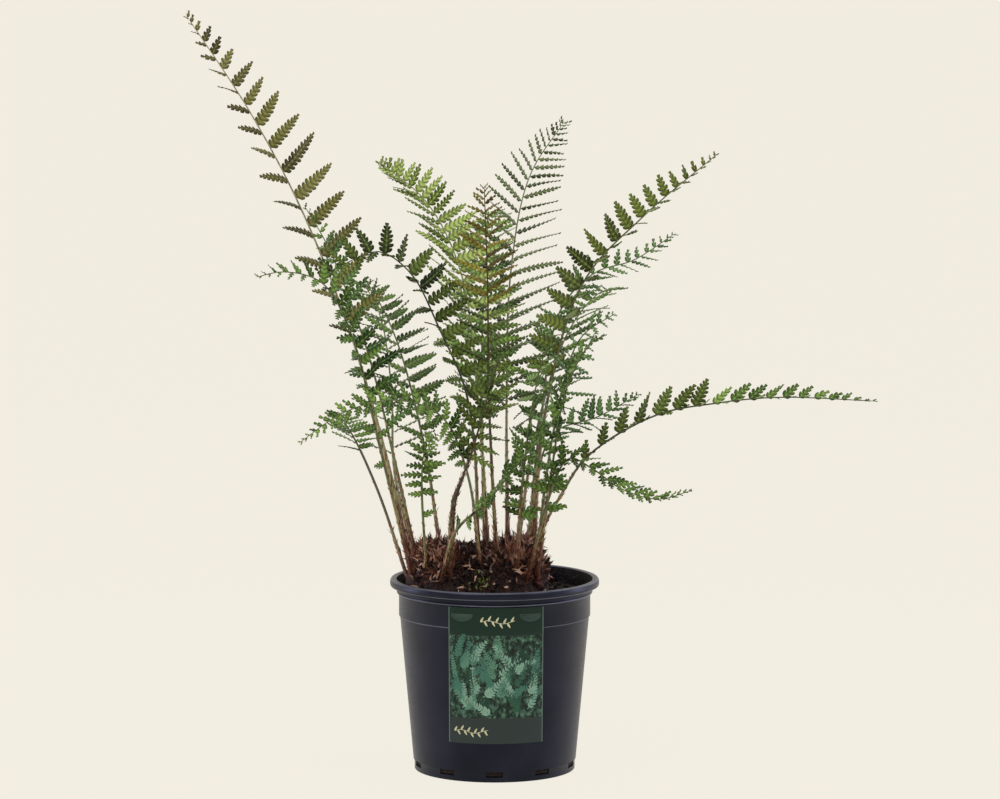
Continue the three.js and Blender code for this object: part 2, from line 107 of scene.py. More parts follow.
def mottledMaterial(name, finish, grain, stops, bump=None, stretch=None):
    # Colour and relief follow one noise; bump is its strength and its depth in mm
    material = newMaterial(name, finish)
    place = addNode(material, "TexCoord").outputs["Object"]
    if stretch:
        place = addNode(material, "Mapping", {"Vector": place, "Scale": stretch})
    mottle = addNode(material, "TexNoise", {"Vector": place, **grain})
    setFinish(material, {"Base Color": addNode(material, "ValToRGB", {"Fac": mottle}, stops)})
    if bump:
        relief = {"Height": mottle, "Strength": bump[0], "Distance": bump[1] * mm}
        setFinish(material, {"Normal": addNode(material, "Bump", relief)})
    return material


def newObject(name, bm, materials=()):
    mesh = bpy.data.meshes.new(name)
    bm.to_mesh(mesh)
    bm.free()
    for material in materials:
        mesh.materials.append(material)
    thing = bpy.data.objects.new(name, mesh)
    bpy.context.scene.collection.objects.link(thing)
    return thing


def finishPiece(name, bm, materials, node, smooth=None):
    # Where smooth isn't given, each face stays as it was shaped
    if smooth is not None:
        for face in bm.faces:
            face.smooth = smooth
    piece = newObject(name, bm, materials)
    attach(piece, "root")
    if node:
        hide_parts(node)
    return piece


def vertsIn(geom):
    return [g for g in geom if isinstance(g, bmesh.types.BMVert)]


def growRow(bm, edges):
    # Draws edges out into a new row: its vertices and its edges
    grown = bmesh.ops.extrude_edge_only(bm, edges=edges)["geom"]
    fresh = set(vertsIn(grown))
    row = [g for g in grown if isinstance(g, bmesh.types.BMEdge) and set(g.verts) <= fresh]
    return vertsIn(grown), row


def turnOutline(bm, outline, steps):
    # Spins an outline of (radius, height) in mm round the pot's axis
    corners = [bm.verts.new((r * mm, 0, z * mm)) for r, z in outline]
    edges = [bm.edges.new(pair) for pair in zip(corners, corners[1:])]
    bmesh.ops.spin(bm, geom=corners + edges, cent=(0, 0, 0), axis=(0, 0, 1), angle=math.tau,
                   steps=steps, use_merge=True, use_duplicate=False)
    bmesh.ops.remove_doubles(bm, verts=bm.verts[:], dist=mergeDistance)


def leafyMesh():
    # Carries a shade for each vertex, which the materials read, and a UV map
    bm = bmesh.new()
    return bm, bm.verts.layers.float.new("shade"), bm.loops.layers.uv.new("UVMap")


def facesFrom(bm, first):
    bm.faces.ensure_lookup_table()
    return bm.faces[first:]


def polar(radius, angle):
    return radius * math.cos(angle), radius * math.sin(angle)


# Stage: seamless paper sweep, soft light from all round, camera
stage = {
    "paper": "#2a2926",
    "paperGlow": "#f1ece0",
    "glow": 0.987,
    "width": 26,
    "front": -12,
    "back": 9,
    "bend": 4,
    "height": 9.5,
    "skyColour": "#fafaff",
    "skyStrength": 0.42,
    "cameraPlace": (0.0049, -4.0, 0.792),
    "cameraTilt": 6.48,
    "lens": 160.2,
    # name: place, aimed at, size, watts, colour
    "lights": {
        "key": ((-1.5, -2.0, 2.6), (0, 0, 0.4), (1.2, 1.2), 42, "#fffaf0"),
        "fill": ((2.0, -1.6, 1.9), (0, 0, 0.4), (1.4, 1.4), 17, "#f6f8ff"),
        "top": ((0.1, 0.5, 2.6), (0, 0, 0.3), (1.6, 1.2), 12, "#fffdf8"),
        "leftRim": ((-1.1, 0.2, 0.3), (0, 0, 0.12), (0.3, 1.0), 7, "#dcdcff"),
        "rightRim": ((1.1, 0.2, 0.3), (0, 0, 0.12), (0.3, 1.0), 7, "#dcdcff"),
    },
}


def makeStage():
    scene = bpy.context.scene
    scene.view_settings.view_transform = "Standard"
    world = bpy.data.worlds.new("studio")
    scene.world = world
    world.use_nodes = True
    background = world.node_tree.nodes["Background"]
    background.inputs["Color"].default_value = linearColour(stage["skyColour"])
    background.inputs["Strength"].default_value = stage["skyStrength"]

    # Back-lit matt paper: one even cream, with only a trace of the pot's shadow
    paper = newMaterial("back-lit background paper", {
        "Roughness": 0.95, "Base Color": stage["paper"], "Specular IOR Level": 0,
        "Emission Color": stage["paperGlow"], "Emission Strength": stage["glow"]})
    bm = bmesh.new()
    edge = bmesh.ops.create_grid(bm, x_segments=1, y_segments=1, size=1)["verts"]
    bmesh.ops.delete(bm, geom=[v for v in edge if v.co.y > 0], context="VERTS")
    for v in bm.verts:
        v.co = (v.co.x * stage["width"] / 2, stage["front"], 0)
    path = [(stage["back"] - stage["bend"], 0)]
    for i in range(1, 13):
        turn = math.radians(90 * i / 12)
        path.append((stage["back"] - stage["bend"] * (1 - math.sin(turn)),
                     stage["bend"] * (1 - math.cos(turn))))
    path.append((stage["back"], stage["height"]))
    edges = bm.edges[:]
    for y, z in path:
        verts, edges = growRow(bm, edges)
        for v in verts:
            v.co.y, v.co.z = y, z
    bmesh.ops.recalc_face_normals(bm, faces=bm.faces[:])
    for face in bm.faces:
        face.smooth = True
    newObject("paperSweep", bm, [paper])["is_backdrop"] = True

    for name, (place, aim, size, watts, colour) in stage["lights"].items():
        data = bpy.data.lights.new(name, "AREA")
        data.shape = "RECTANGLE"
        data.size, data.size_y = size
        data.energy = watts
        data.color = linearColour(colour)[:3]
        light = bpy.data.objects.new(name, data)
        light.location = place
        light.rotation_euler = (Vector(aim) - Vector(place)).to_track_quat("-Z", "Y").to_euler()
        scene.collection.objects.link(light)

    data = bpy.data.cameras.new("camera")
    data.lens = stage["lens"]
    data.sensor_width = 36
    data.clip_start, data.clip_end = 0.05, 50
    camera = bpy.data.objects.new("camera", data)
    camera.location = stage["cameraPlace"]
    camera.rotation_euler = (math.radians(90 - stage["cameraTilt"]), 0, 0)
    scene.collection.objects.link(camera)
    scene.camera = camera
    print("stage set")


# Pot: one injection moulding with a rolled lip, a recessed collar with a bead and a fine step
pot = {
    "colour": "#0e1017",
    "paleColour": "#1b1d28",
    "tint": "#d2d8fa",
    "roughness": (0.34, 0.41),
    "steps": 144,
    # outer and inner outline as radius and height in mm
    "outline": [
        (0, 0), (45, 0), (46.5, 0.6), (48, 3), (67.6, 3), (68, 2.6), (68, 0.5), (68.5, 0), (72.5, 0),
        (73, 0.5), (73, 8.4), (73.4, 9), (74, 9.3), (80, 75), (85.9, 140.3), (86.2, 140.9), (86.8, 141.1),
        (87, 141.6), (87, 160.6), (87.5, 161.2), (88.5, 161.7), (89, 162.5), (88.7, 163.4),
        (88.2, 163.9), (88.2, 167.2), (88.6, 167.8), (89.4, 168), (93.4, 168), (94.3, 168.3),
        (94.8, 169), (95, 170), (95, 172.2), (94.7, 173.6), (94, 174.6), (92.8, 175), (90.6, 175),
        (89.8, 174.8), (89.2, 174.2), (85.6, 168.4), (85.3, 167.6), (84.4, 141), (78.4, 73),
        (72.6, 6), (71.8, 5), (0, 5),
    ],
    # Pale lines painted along the moulded edges as highlights, at these heights in mm
    "paintedHighlightColour": "#8d909f",
    "paintedHighlightLevels": (141.2, 162.4, 168.4, 174.5),
    "soiledColour": "#0c0a0a",
    "dustColour": "#3a302b",
    "soiledLevels": (6, 173),
    "drainSlots": 10,
    "drainSize": (10, 15, 5),
    "drainMiddle": (70.5, 7.1),
}


def potMaterial():
    # Polypropylene, injection moulded: near-black with a blue cast, satin, faintly scuffed and dusty
    material = newMaterial("moulded black polypropylene", {
        "IOR": 1.49, "Specular IOR Level": 0.26, "Specular Tint": pot["tint"]})
    place = addNode(material, "TexCoord").outputs["Object"]
    cloud = addNode(material, "TexNoise", {"Vector": place, "Scale": 26, "Detail": 4})
    # Handling scuffs run round the wall, some 17 mm long and 1 mm high
    stretched = addNode(material, "Mapping", {"Vector": place, "Scale": (60, 60, 900)})
    scuffs = addNode(material, "TexNoise", {"Vector": stretched, "Scale": 1, "Detail": 3})
    colour = addNode(material, "ValToRGB", {"Fac": cloud}, [(0.35, pot["colour"]), (0.75, pot["paleColour"])])
    # Painted highlights along the moulded edges: pale lines 0.4 mm high that fade out over 1 mm
    height = addNode(material, "SeparateXYZ", {"Vector": place}).outputs["Z"]
    for level in pot["paintedHighlightLevels"]:
        off = addNode(material, "Math", {0: height, 1: level * mm}, operation="SUBTRACT")
        near = addNode(material, "Math", {0: off}, operation="ABSOLUTE")
        line = addNode(material, "MapRange", {"Value": near, "From Min": 0.2 * mm, "From Max": 0.7 * mm,
                       "To Min": 0.75, "To Max": 0})
        paintedHighlight = addNode(material, "Math", {0: line, 1: cloud}, operation="MULTIPLY")
        colour = addNode(material, "Mix", {"Factor": paintedHighlight, 6: colour, 7: pot["paintedHighlightColour"]},
                         data_type="RGBA").outputs[2]
    smooth, rough = pot["roughness"]
    gloss = addNode(material, "MapRange", {"Value": scuffs, "From Min": 0.35, "From Max": 0.75,
                    "To Min": smooth, "To Max": rough})
    # The mould's fine spark texture, drawn at 0.8 mm because the real 0.1 mm wouldn't show
    grain = addNode(material, "TexNoise", {"Vector": place, "Scale": 1250, "Detail": 2})
    bump = addNode(material, "Bump", {"Height": grain, "Strength": 0.12, "Distance": 0.2 * mm})
    setFinish(material, {"Base Color": colour, "Roughness": gloss, "Normal": bump})
    return material


def makePot():
    bm = bmesh.new()
    turnOutline(bm, pot["outline"], pot["steps"])
    bmesh.ops.recalc_face_normals(bm, faces=bm.faces[:])
    low, high = [level * mm for level in pot["soiledLevels"]]
    for face in bm.faces:
        middle = face.calc_center_median()
        inward = face.normal.x * middle.x + face.normal.y * middle.y < -1e-5
        if inward and low < middle.z < high:
            face.material_index = 1
    # The same plastic inside, coated with dried peat: matt, black and speckled
    soiled = mottledMaterial(
        "polypropylene soiled with peat", {"Roughness": 0.9, "Specular IOR Level": 0.15},
        {"Scale": 380, "Detail": 5, "Roughness": 0.7},
        [(0.5, pot["soiledColour"]), (0.68, pot["dustColour"])], bump=(0.8, 0.8))
    piece = finishPiece("potShell", bm, [potMaterial(), soiled], "pot", smooth=True)
    # Drain slots through the foot of the wall
    cutter = bmesh.new()
    radius, level = pot["drainMiddle"]
    for i in range(pot["drainSlots"]):
        turn = Matrix.Rotation((i + 0.5) / pot["drainSlots"] * math.tau, 4, "Z")
        place = turn @ Matrix.Translation((radius * mm, 0, level * mm))
        size = Matrix.Diagonal((*[s * mm for s in pot["drainSize"]], 1))
        bmesh.ops.create_cube(cutter, size=1, matrix=place @ size)
    slots = newObject("slots", cutter)
    cut = piece.modifiers.new("drain", "BOOLEAN")
    cut.operation = "DIFFERENCE"
    cut.object = slots
    bpy.context.view_layer.update()
    shape = piece.evaluated_get(bpy.context.evaluated_depsgraph_get())
    cutMesh = bpy.data.meshes.new_from_object(shape)
    piece.modifiers.clear()
    piece.data = cutMesh
    cutMesh.name = "potShell"
    bpy.data.objects.remove(slots)
    cutMesh.set_sharp_from_angle(angle=sharpAngle)
    print("pot turned and slotted")


# Label: a printed plastic sheet that follows the wall and hangs from under the bead
label = {
    "width": 87.5,
    "bottom": 36,
    "top": 160.5,
    "turn": 1.0,
    "thickness": 0.45,
    "wall": ((9, 74), (141, 86)),   # height and radius of the wall, low and high
    "collar": 87,
    "bend": (133, 139),
    "lift": 0.35,
    "columns": 40,
    "rows": 44,
    "hole": (-0.435, 0.014),       # height and radius in shares of the sheet
    "bands": (0.19, 0.8),          # the picture's foot and top in shares of the height
    "margin": 0.009,
    "darkGreen": "#0c281e",
    "pictureBlack": "#0a1512",
    "pictureDark": "#1c3329",
    "pictureLight": "#5c8069",
    "bandColour": "#2c3534",
    "edgeColour": "#9fb0a6",
    "marginColour": "#5f6f68",
    "leafGreens": ["#335c48", "#5c8a72", "#244536", "#86ad97", "#467766"],
    "pale": "#d5d2ac",
    "inkDepth": 0.72,
    "motifLift": 0.12,
    "motifInset": 1.5,
    "sprigs": 44,
    # pale sprays: left end, height, step, leaves and leaf length in mm
    "sprays": [(-14, 148, 3.4, 9, 5.4), (-38, 47, 3.1, 10, 5)],
    "tabs": (-31, 31),
    "tabColours": ("#12291f", "#274338"),
}


def wallRadius(z):
    # The pot's outer wall in mm at a height in mm, eased over the step as the label is
    (footLevel, foot), (topLevel, top) = label["wall"]
    slope = foot + (top - foot) * (z - footLevel) / (topLevel - footLevel)
    low, high = label["bend"]
    share = min(1, max(0, (z - low) / (high - low)))
    return slope + (label["collar"] - slope) * share * share * (3 - 2 * share)


def onWall(x, z, lift):
    # A point of the label: x mm round from its middle, z mm up, lift mm off the wall
    radius = wallRadius(z)
    turn = math.radians(label["turn"]) + x / radius
    out = (radius + label["lift"] + lift) * mm
    return Vector((out * math.sin(turn), -out * math.cos(turn), z * mm))


def labelMaterials():
    # Offset-printed polystyrene sheet: smooth, slightly glossy, its cut edge paler than the print
    sheet = newMaterial("printed plastic label", {"Roughness": 0.34, "IOR": 1.55, "Specular IOR Level": 0.2})
    uv = addNode(sheet, "UVMap", uv_map="UVMap")
    parts = addNode(sheet, "SeparateXYZ", {"Vector": uv})
    height = parts.outputs["Y"]
    # Out-of-focus foliage behind the printed sprigs, in patches 2 to 6 mm across
    blur = addNode(sheet, "TexNoise", {"Vector": uv, "Scale": 20, "Detail": 6, "Roughness": 0.75})
    foliage = addNode(sheet, "ValToRGB", {"Fac": blur}, [
        (0.4, label["pictureBlack"]), (0.5, label["pictureDark"]), (0.64, label["pictureLight"])])
    foot, top = label["bands"]
    upper = addNode(sheet, "Math", {0: height, 1: top}, operation="GREATER_THAN")
    lower = addNode(sheet, "Math", {0: height, 1: foot}, operation="LESS_THAN")
    # A pale unprinted margin, 0.8 mm wide at each side
    beside = addNode(sheet, "Math", {0: parts, 1: 0.5}, operation="SUBTRACT")
    far = addNode(sheet, "Math", {0: beside}, operation="ABSOLUTE")
    margin = addNode(sheet, "Math", {0: far, 1: 0.5 - label["margin"]}, operation="GREATER_THAN")
    colour = foliage
    for mask, ink in [(upper, "darkGreen"), (lower, "bandColour"), (margin, "marginColour")]:
        colour = addNode(sheet, "Mix", {"Factor": mask, 6: colour, 7: label[ink]},
                         data_type="RGBA").outputs[2]
    setFinish(sheet, {"Base Color": colour})

    edge = newMaterial("cut edge of the plastic label", {"Roughness": 0.5, "Base Color": label["edgeColour"]})
    inks = []
    for i, colour in enumerate(label["leafGreens"] + [label["pale"]]):
        # Screen ink: flat and a little glossy, one shade to each leaf
        ink = newMaterial(f"printing ink {i + 1}", {"Roughness": 0.38, "Specular IOR Level": 0.2})
        place = addNode(ink, "TexCoord").outputs["Object"]
        grain = addNode(ink, "TexNoise", {"Vector": place, "Scale": 160, "Detail": 2})
        darker = tuple(c * label["inkDepth"] for c in linearColour(colour)[:3]) + (1,)
        mixed = addNode(ink, "Mix", {"Factor": grain, 6: darker, 7: colour}, data_type="RGBA")
        setFinish(ink, {"Base Color": mixed.outputs[2]})
        inks.append(ink)
    return sheet, edge, inks


def makeSheet(sheet, edge):
    width, bottom, top = label["width"], label["bottom"], label["top"]
    bm = bmesh.new()
    uvLayer = bm.loops.layers.uv.new("UVMap")
    bmesh.ops.create_grid(bm, x_segments=label["columns"], y_segments=label["rows"], size=0.5)
    # A punched hole low in the middle
    level, radius = label["hole"]
    hole = [f for f in bm.faces if (f.calc_center_median() - Vector((0, level, 0))).length < radius]
    bmesh.ops.delete(bm, geom=hole, context="FACES")
    for face in bm.faces:
        for loop in face.loops:
            loop[uvLayer].uv = (loop.vert.co.x + 0.5, loop.vert.co.y + 0.5)
    for v in bm.verts:
        v.co = onWall(v.co.x * width, bottom + (v.co.y + 0.5) * (top - bottom), 0)
    bmesh.ops.recalc_face_normals(bm, faces=bm.faces[:])
    if next(iter(bm.faces)).normal.y > 0:
        bmesh.ops.reverse_faces(bm, faces=bm.faces[:])
    shown = set(bm.faces)
    bmesh.ops.solidify(bm, geom=bm.faces[:], thickness=-label["thickness"] * mm)
    bmesh.ops.recalc_face_normals(bm, faces=bm.faces[:])
    # The narrow faces of the sheet's cut edge are under 2 square mm
    for face in bm.faces:
        flat = abs(face.normal.z) < 0.5 and face.calc_area() > 2 * mm * mm
        face.material_index = 0 if face in shown or flat else 1
    finishPiece("labelSheet", bm, [sheet, edge], "label", smooth=False)


def motifLeaf(bm, x, z, length, breadth, angle, ink):
    # Nothing is printed over the sheet's margin
    limit = label["width"] / 2 - label["motifInset"]
    if abs(x + length * math.cos(angle)) > limit or abs(x) > limit:
        return
    found = bmesh.ops.create_circle(bm, cap_ends=True, radius=1, segments=10)["verts"]
    leaf = found[0].link_faces[0]
    leaf.material_index = ink
    for v in found:
        along = (v.co.x + 1) * length / 2
        across = v.co.y * breadth / 2 * (1 - 0.35 * v.co.x)
        px = x + along * math.cos(angle) - across * math.sin(angle)
        pz = z + along * math.sin(angle) + across * math.cos(angle)
        v.co = onWall(px, pz, label["thickness"] + label["motifLift"])
    grown = bmesh.ops.extrude_face_region(bm, geom=[leaf])["geom"]
    for v in vertsIn(grown):
        v.co -= Vector((v.co.x, v.co.y, 0)).normalized() * 0.1 * mm


def motifSprig(bm, rng, x, z, length, lean, curl, leaves, size):
    ink = rng.randrange(len(label["leafGreens"]))
    angle = math.pi / 2 + lean
    step = length / leaves
    for i in range(leaves):
        x += math.cos(angle) * step
        z += math.sin(angle) * step
        angle += curl / leaves
        reach = size * (1 - 0.55 * i / leaves) * rng.uniform(0.85, 1.1)
        for hand in (-1, 1):
            motifLeaf(bm, x, z, reach, reach * 0.42, angle + hand * rng.uniform(0.75, 1.0), ink)
        motifLeaf(bm, x - math.cos(angle) * step, z - math.sin(angle) * step, step * 1.1, 0.7, angle, ink)
    motifLeaf(bm, x, z, size * 0.5, size * 0.2, angle, ink)


def makeMotifs(inks):
    # Printed motifs: leafy sprigs all over the picture, the lower ones in front, and two pale sprays
    rng = random.Random(21)
    bm = bmesh.new()
    for i in range(label["sprigs"]):
        x = -32 + 16 * (i % 5) + rng.uniform(-5, 5)
        z = 112 - 50 * i / label["sprigs"] + rng.uniform(-3, 3)
        motifSprig(bm, rng, x, z, rng.uniform(16, 26), rng.uniform(-1.1, 1.1), rng.uniform(-0.9, 0.9), 8,
                   rng.uniform(4, 6.5))
    pale = len(label["leafGreens"])
    for x, z, step, count, size in label["sprays"]:
        for i in range(count):
            height = z + 1.2 * math.sin(i * 0.8)
            motifLeaf(bm, x + step * i, height, step * 1.1, 0.6, 0.3 * math.cos(i * 0.8), pale)
            motifLeaf(bm, x + step * i, height, size, 1.7, math.radians(60 - 120 * (i % 2)), pale)
    bmesh.ops.recalc_face_normals(bm, faces=bm.faces[:])
    finishPiece("labelMotifs", bm, inks, None, smooth=False)


def makeTabs(edge):
    # Two half-moon tabs, cut and pushed out near the top
    bm = bmesh.new()
    for middle in label["tabs"]:
        found = bmesh.ops.create_circle(bm, cap_ends=True, radius=1, segments=20)["verts"]
        for v in found:
            x, y = v.co.x, min(v.co.y, 0.25)
            lift = label["thickness"] + 0.15 + 0.5 * (0.25 - y)
            v.co = onWall(middle + x * 10, 153.4 + y * 5.4, lift)
        grown = bmesh.ops.extrude_face_region(bm, geom=[found[0].link_faces[0]])["geom"]
        for v in vertsIn(grown):
            v.co += Vector((v.co.x, v.co.y, 0)).normalized() * 0.3 * mm
    bmesh.ops.recalc_face_normals(bm, faces=bm.faces[:])
    for face in bm.faces:
        face.material_index = 1 if face.calc_area() < 12 * mm * mm else 0
    # The same printed sheet, glossier where it was bent out
    dark, light = label["tabColours"]
    tab = mottledMaterial("pushed-out label tab", {"Roughness": 0.3}, {"Scale": 60, "Detail": 2},
                          [(0.3, dark), (0.7, light)])
    finishPiece("labelTabs", bm, [tab, edge], None, smooth=False)


# Ragged scales: papery slips that cover the crown and the feet of the stipes
scales = {
    # On the crown the dark end serves as painted shade and the pale end partly as painted highlight
    "black": "#0e0707",
    "dark": "#38190f",
    "middle": "#82492f",
    "pale": "#d4ab94",
    "roughness": 0.75,
}


def scaleMaterial():
    # Fern scales: dry papery membrane, dull, from dark brown to pale rust
    material = newMaterial("dry papery fern scale", {"Roughness": scales["roughness"]})
    shade = addNode(material, "Attribute", attribute_name="shade").outputs["Fac"]
    place = addNode(material, "TexCoord").outputs["Object"]
    blotch = addNode(material, "TexNoise", {"Vector": place, "Scale": 220, "Detail": 2})
    mixed = addNode(material, "Math", {0: shade, 1: blotch}, operation="ADD")
    half = addNode(material, "Math", {0: mixed, 1: 0.5}, operation="MULTIPLY")
    tone = addNode(material, "ValToRGB", {"Fac": half}, [
        (0.24, scales["black"]), (0.38, scales["dark"]), (0.56, scales["middle"]), (0.76, scales["pale"])])
    # Fine ribs about 0.6 mm apart
    ribs = addNode(material, "TexNoise", {"Vector": place, "Scale": 1800, "Detail": 1})
    bump = addNode(material, "Bump", {"Height": ribs, "Strength": 0.4, "Distance": 0.3 * mm})
    setFinish(material, {"Base Color": tone, "Normal": bump})
    return material


def templateMesh(name, bm):
    # The mesh and its resting coordinates, which placeTemplate bends anew for each copy
    for face in bm.faces:
        face.smooth = True
    mesh = bpy.data.meshes.new(name)
    bm.to_mesh(mesh)
    bm.free()
    coords = np.zeros(len(mesh.vertices) * 3)
    mesh.vertices.foreach_get("co", coords)
    return mesh, coords.reshape(-1, 3)


def scaleTemplate():
    # A slip 1 long and 1 wide near its foot that narrows to a point, closed by its mirror image
    bm, _, _ = leafyMesh()
    found = bmesh.ops.create_grid(bm, x_segments=3, y_segments=2, size=0.5)["verts"]
    for i, v in enumerate(found):
        column, row = i % 4, i // 4
        width = (0.5, 1, 0.7, 0)[column]
        v.co = (column / 3, (row - 1) * width / 2, 0.09 * width if row == 1 else 0)
    bmesh.ops.remove_doubles(bm, verts=found, dist=weldDistance)
    bmesh.ops.mirror(bm, geom=bm.verts[:] + bm.edges[:] + bm.faces[:], axis="Z", merge_dist=weldDistance)
    bmesh.ops.recalc_face_normals(bm, faces=bm.faces[:])
    bm.normal_update()
    # Its rim stays crisp
    for edge in bm.edges:
        edge.smooth = len({f.normal.z > 0 for f in edge.link_faces}) == 1
    return templateMesh("scaleSlip", bm)


def placeTemplate(bm, form, size, bend, matrix, shade):
    # size is length, width and thickness; bend says how far the tip drops, the tip swings
    # sideways, the margins drop and the tip twists
    template, coords = form
    drop, swing, cup, twist = bend
    length, width, thickness = size
    x, y, z = coords.T
    turn = twist * x
    side = y * width
    rise = z * thickness - cup * width * (2 * y) ** 2
    bent = np.stack([
        x * length * (1 - 0.25 * abs(drop) * x),
        side * np.cos(turn) - rise * np.sin(turn) + swing * length * x ** 2,
        side * np.sin(turn) + rise * np.cos(turn) - drop * length * x ** 2,
    ], axis=1)
    turned = bent @ np.array(matrix.to_3x3()).T + np.array(matrix.translation)
    template.vertices.foreach_set("co", turned.astype(np.float32).ravel())
    values = np.full(len(coords), shade, np.float32)
    template.attributes["shade"].data.foreach_set("value", values)
    bm.from_mesh(template)


def frameMatrix(origin, along, normal):
    along = along.normalized()
    across = normal.cross(along).normalized()
    up = along.cross(across)
    matrix = Matrix((along, across, up)).transposed().to_4x4()
    matrix.translation = origin
    return matrix


# Soil: peat that fills the pot, and the crown's mound on it
soil = {
    "level": 162,
    "outer": 83.9,
    "shoulder": (82.6, 141),
    "foot": 72,
    "floor": 5.4,
    "rings": 44,
    "steps": 120,
    "crumbs": 620,
    "crumbSize": (0.8, 2.4),
    "spread": 80,
    "fibres": 90,
    "mossSlips": 150,
    "mossPlaces": [(-6, -70), (14, -64), (-20, -62), (34, -58), (-58, -46), (60, -20), (20, 66), (-50, 56)],
    "dark": "#0b0908",
    "light": "#2e241d",
    "fleck": "#5a4636",
}


def soilHeight(x, y):
    # Lumpy peat: swells some 25 mm across with lumps of 7 mm on them, in mm
    rough = noise.noise(Vector((x / 26, y / 26, 3))) * 2.2 + noise.noise(Vector((x / 7, y / 7, 9))) * 1.3
    edge = max(0, (math.hypot(x, y) - 78) / 6)
    return soil["level"] + rough * (1 - 0.7 * edge) - 0.8 * edge


def mossMaterial():
    # Cushion moss: soft, yellow-green and fully matt
    material = newMaterial("cushion moss", {"Roughness": 0.85})
    shade = addNode(material, "Attribute", attribute_name="shade").outputs["Fac"]
    tone = addNode(material, "ValToRGB", {"Fac": shade}, [(0.1, "#3c4a1e"), (0.6, "#7c8a3c"), (1, "#b7bd74")])
    setFinish(material, {"Base Color": tone})
    return material


def makeSoil(slip, scaleLook, mossLook):
    rng = random.Random(8)
    bm, _, _ = leafyMesh()
    radii = [soil["outer"] * i / soil["rings"] for i in range(soil["rings"] + 1)]
    turnOutline(bm, [(r, soil["level"]) for r in radii]
                + [soil["shoulder"], (soil["foot"], soil["floor"]), (0, soil["floor"])], soil["steps"])
    for v in bm.verts:
        if v.co.z > 150 * mm:
            v.co.z = soilHeight(v.co.x / mm, v.co.y / mm) * mm
    # Loose crumbs
    for _ in range(soil["crumbs"]):
        radius = soil["spread"] * math.sqrt(rng.random())
        x, y = polar(radius, rng.uniform(0, math.tau))
        size = rng.uniform(*soil["crumbSize"]) * mm
        place = Matrix.Translation((x * mm, y * mm, soilHeight(x, y) * mm + 0.3 * size))
        turn = Matrix.Rotation(rng.uniform(0, math.tau), 4, Vector((rng.random(), rng.random(), 1)))
        shape = Matrix.Diagonal((1, rng.uniform(0.5, 0.9), rng.uniform(0.4, 0.8), 1))
        bmesh.ops.create_icosphere(bm, subdivisions=1, radius=size, matrix=place @ turn @ shape)
    bmesh.ops.recalc_face_normals(bm, faces=bm.faces[:])
    # Rust-coloured root fibres and bits of moss, most of the moss at the front
    for i in range(soil["fibres"] + soil["mossSlips"]):
        moss = i >= soil["fibres"]
        if moss:
            middle = rng.choice(soil["mossPlaces"])
            x, y = middle[0] + rng.gauss(0, 6), middle[1] + rng.gauss(0, 5)
        else:
            radius = 79 * math.sqrt(rng.random())
            x, y = polar(radius, rng.uniform(0, math.tau))
        if math.hypot(x, y) > soil["spread"]:
            continue
        heading = rng.uniform(0, math.tau)
        climb = rng.uniform(0.6, 1.6) if moss else rng.uniform(-0.1, 0.4)
        along = Vector((*polar(1, heading), climb))
        normal = Vector((rng.uniform(-1, 1), rng.uniform(-1, 1), 1.2))
        size = (rng.uniform(3, 6), rng.uniform(1, 2), 1) if moss else (rng.uniform(7, 18), 0.6, 3)
        start = Vector((x, y, soilHeight(x, y) - 0.4)) * mm
        before = len(bm.faces)
        placeTemplate(bm, slip, [s * mm for s in size],
                      (rng.uniform(-0.3, 0.4), rng.uniform(-0.3, 0.3), 0, 0),
                      frameMatrix(start, along, normal), rng.random())
        for face in facesFrom(bm, before):
            face.material_index = 2 if moss else 1
    # Peat potting soil: damp, fibrous and almost black, fully matt
    peat = mottledMaterial(
        "damp peat potting soil", {"Roughness": 0.92, "Specular IOR Level": 0.25},
        {"Scale": 420, "Detail": 6, "Roughness": 0.7},
        [(0.35, soil["dark"]), (0.62, soil["light"]), (0.8, soil["fleck"])], bump=(0.9, 1.2))
    finishPiece("pottingSoil", bm, [peat, scaleLook, mossLook], "soil", smooth=False)
    print("soil filled in")


# Crown: knobbly rootstock under a thatch of scales, with the feet of old stipes and a little moss
crown = {
    "centre": (-16, 0),
    "reach": (66, 50),
    "height": 44,
    "dip": 0.2,
    "dipPlace": -14,
    "knobs": 5,
    "slips": 3600,
    "stubs": 22,
    "mossSlips": 60,
    "wall": 77,          # mm from the pot's axis past which no scale stands
    "core": "#120b0a",
    "coreLight": "#4a2c22",
}


def crownPoint(shareX, shareY):
    # A place on the crown from its middle, 0, to its edge, 1
    return crown["centre"][0] + crown["reach"][0] * shareX, crown["centre"][1] + crown["reach"][1] * shareY


def crownShare(x, y):
    return math.hypot((x - crown["centre"][0]) / crown["reach"][0],
                      (y - crown["centre"][1]) / crown["reach"][1])


def crownTop(x, y):
    # Height over the soil in mm: steep at the edge, lower between its two humps
    humps = 1 - crown["dip"] * math.cos(math.pi * (x - crown["centre"][0]) / crown["reach"][0])
    knobs = noise.noise(Vector((x / 11, y / 11, 1))) * crown["knobs"]
    share = min(crownShare(x, y), 1)
    return max(0, crown["height"] * humps * (1 - share ** 4) ** 0.55 + knobs * (1 - share ** 3))


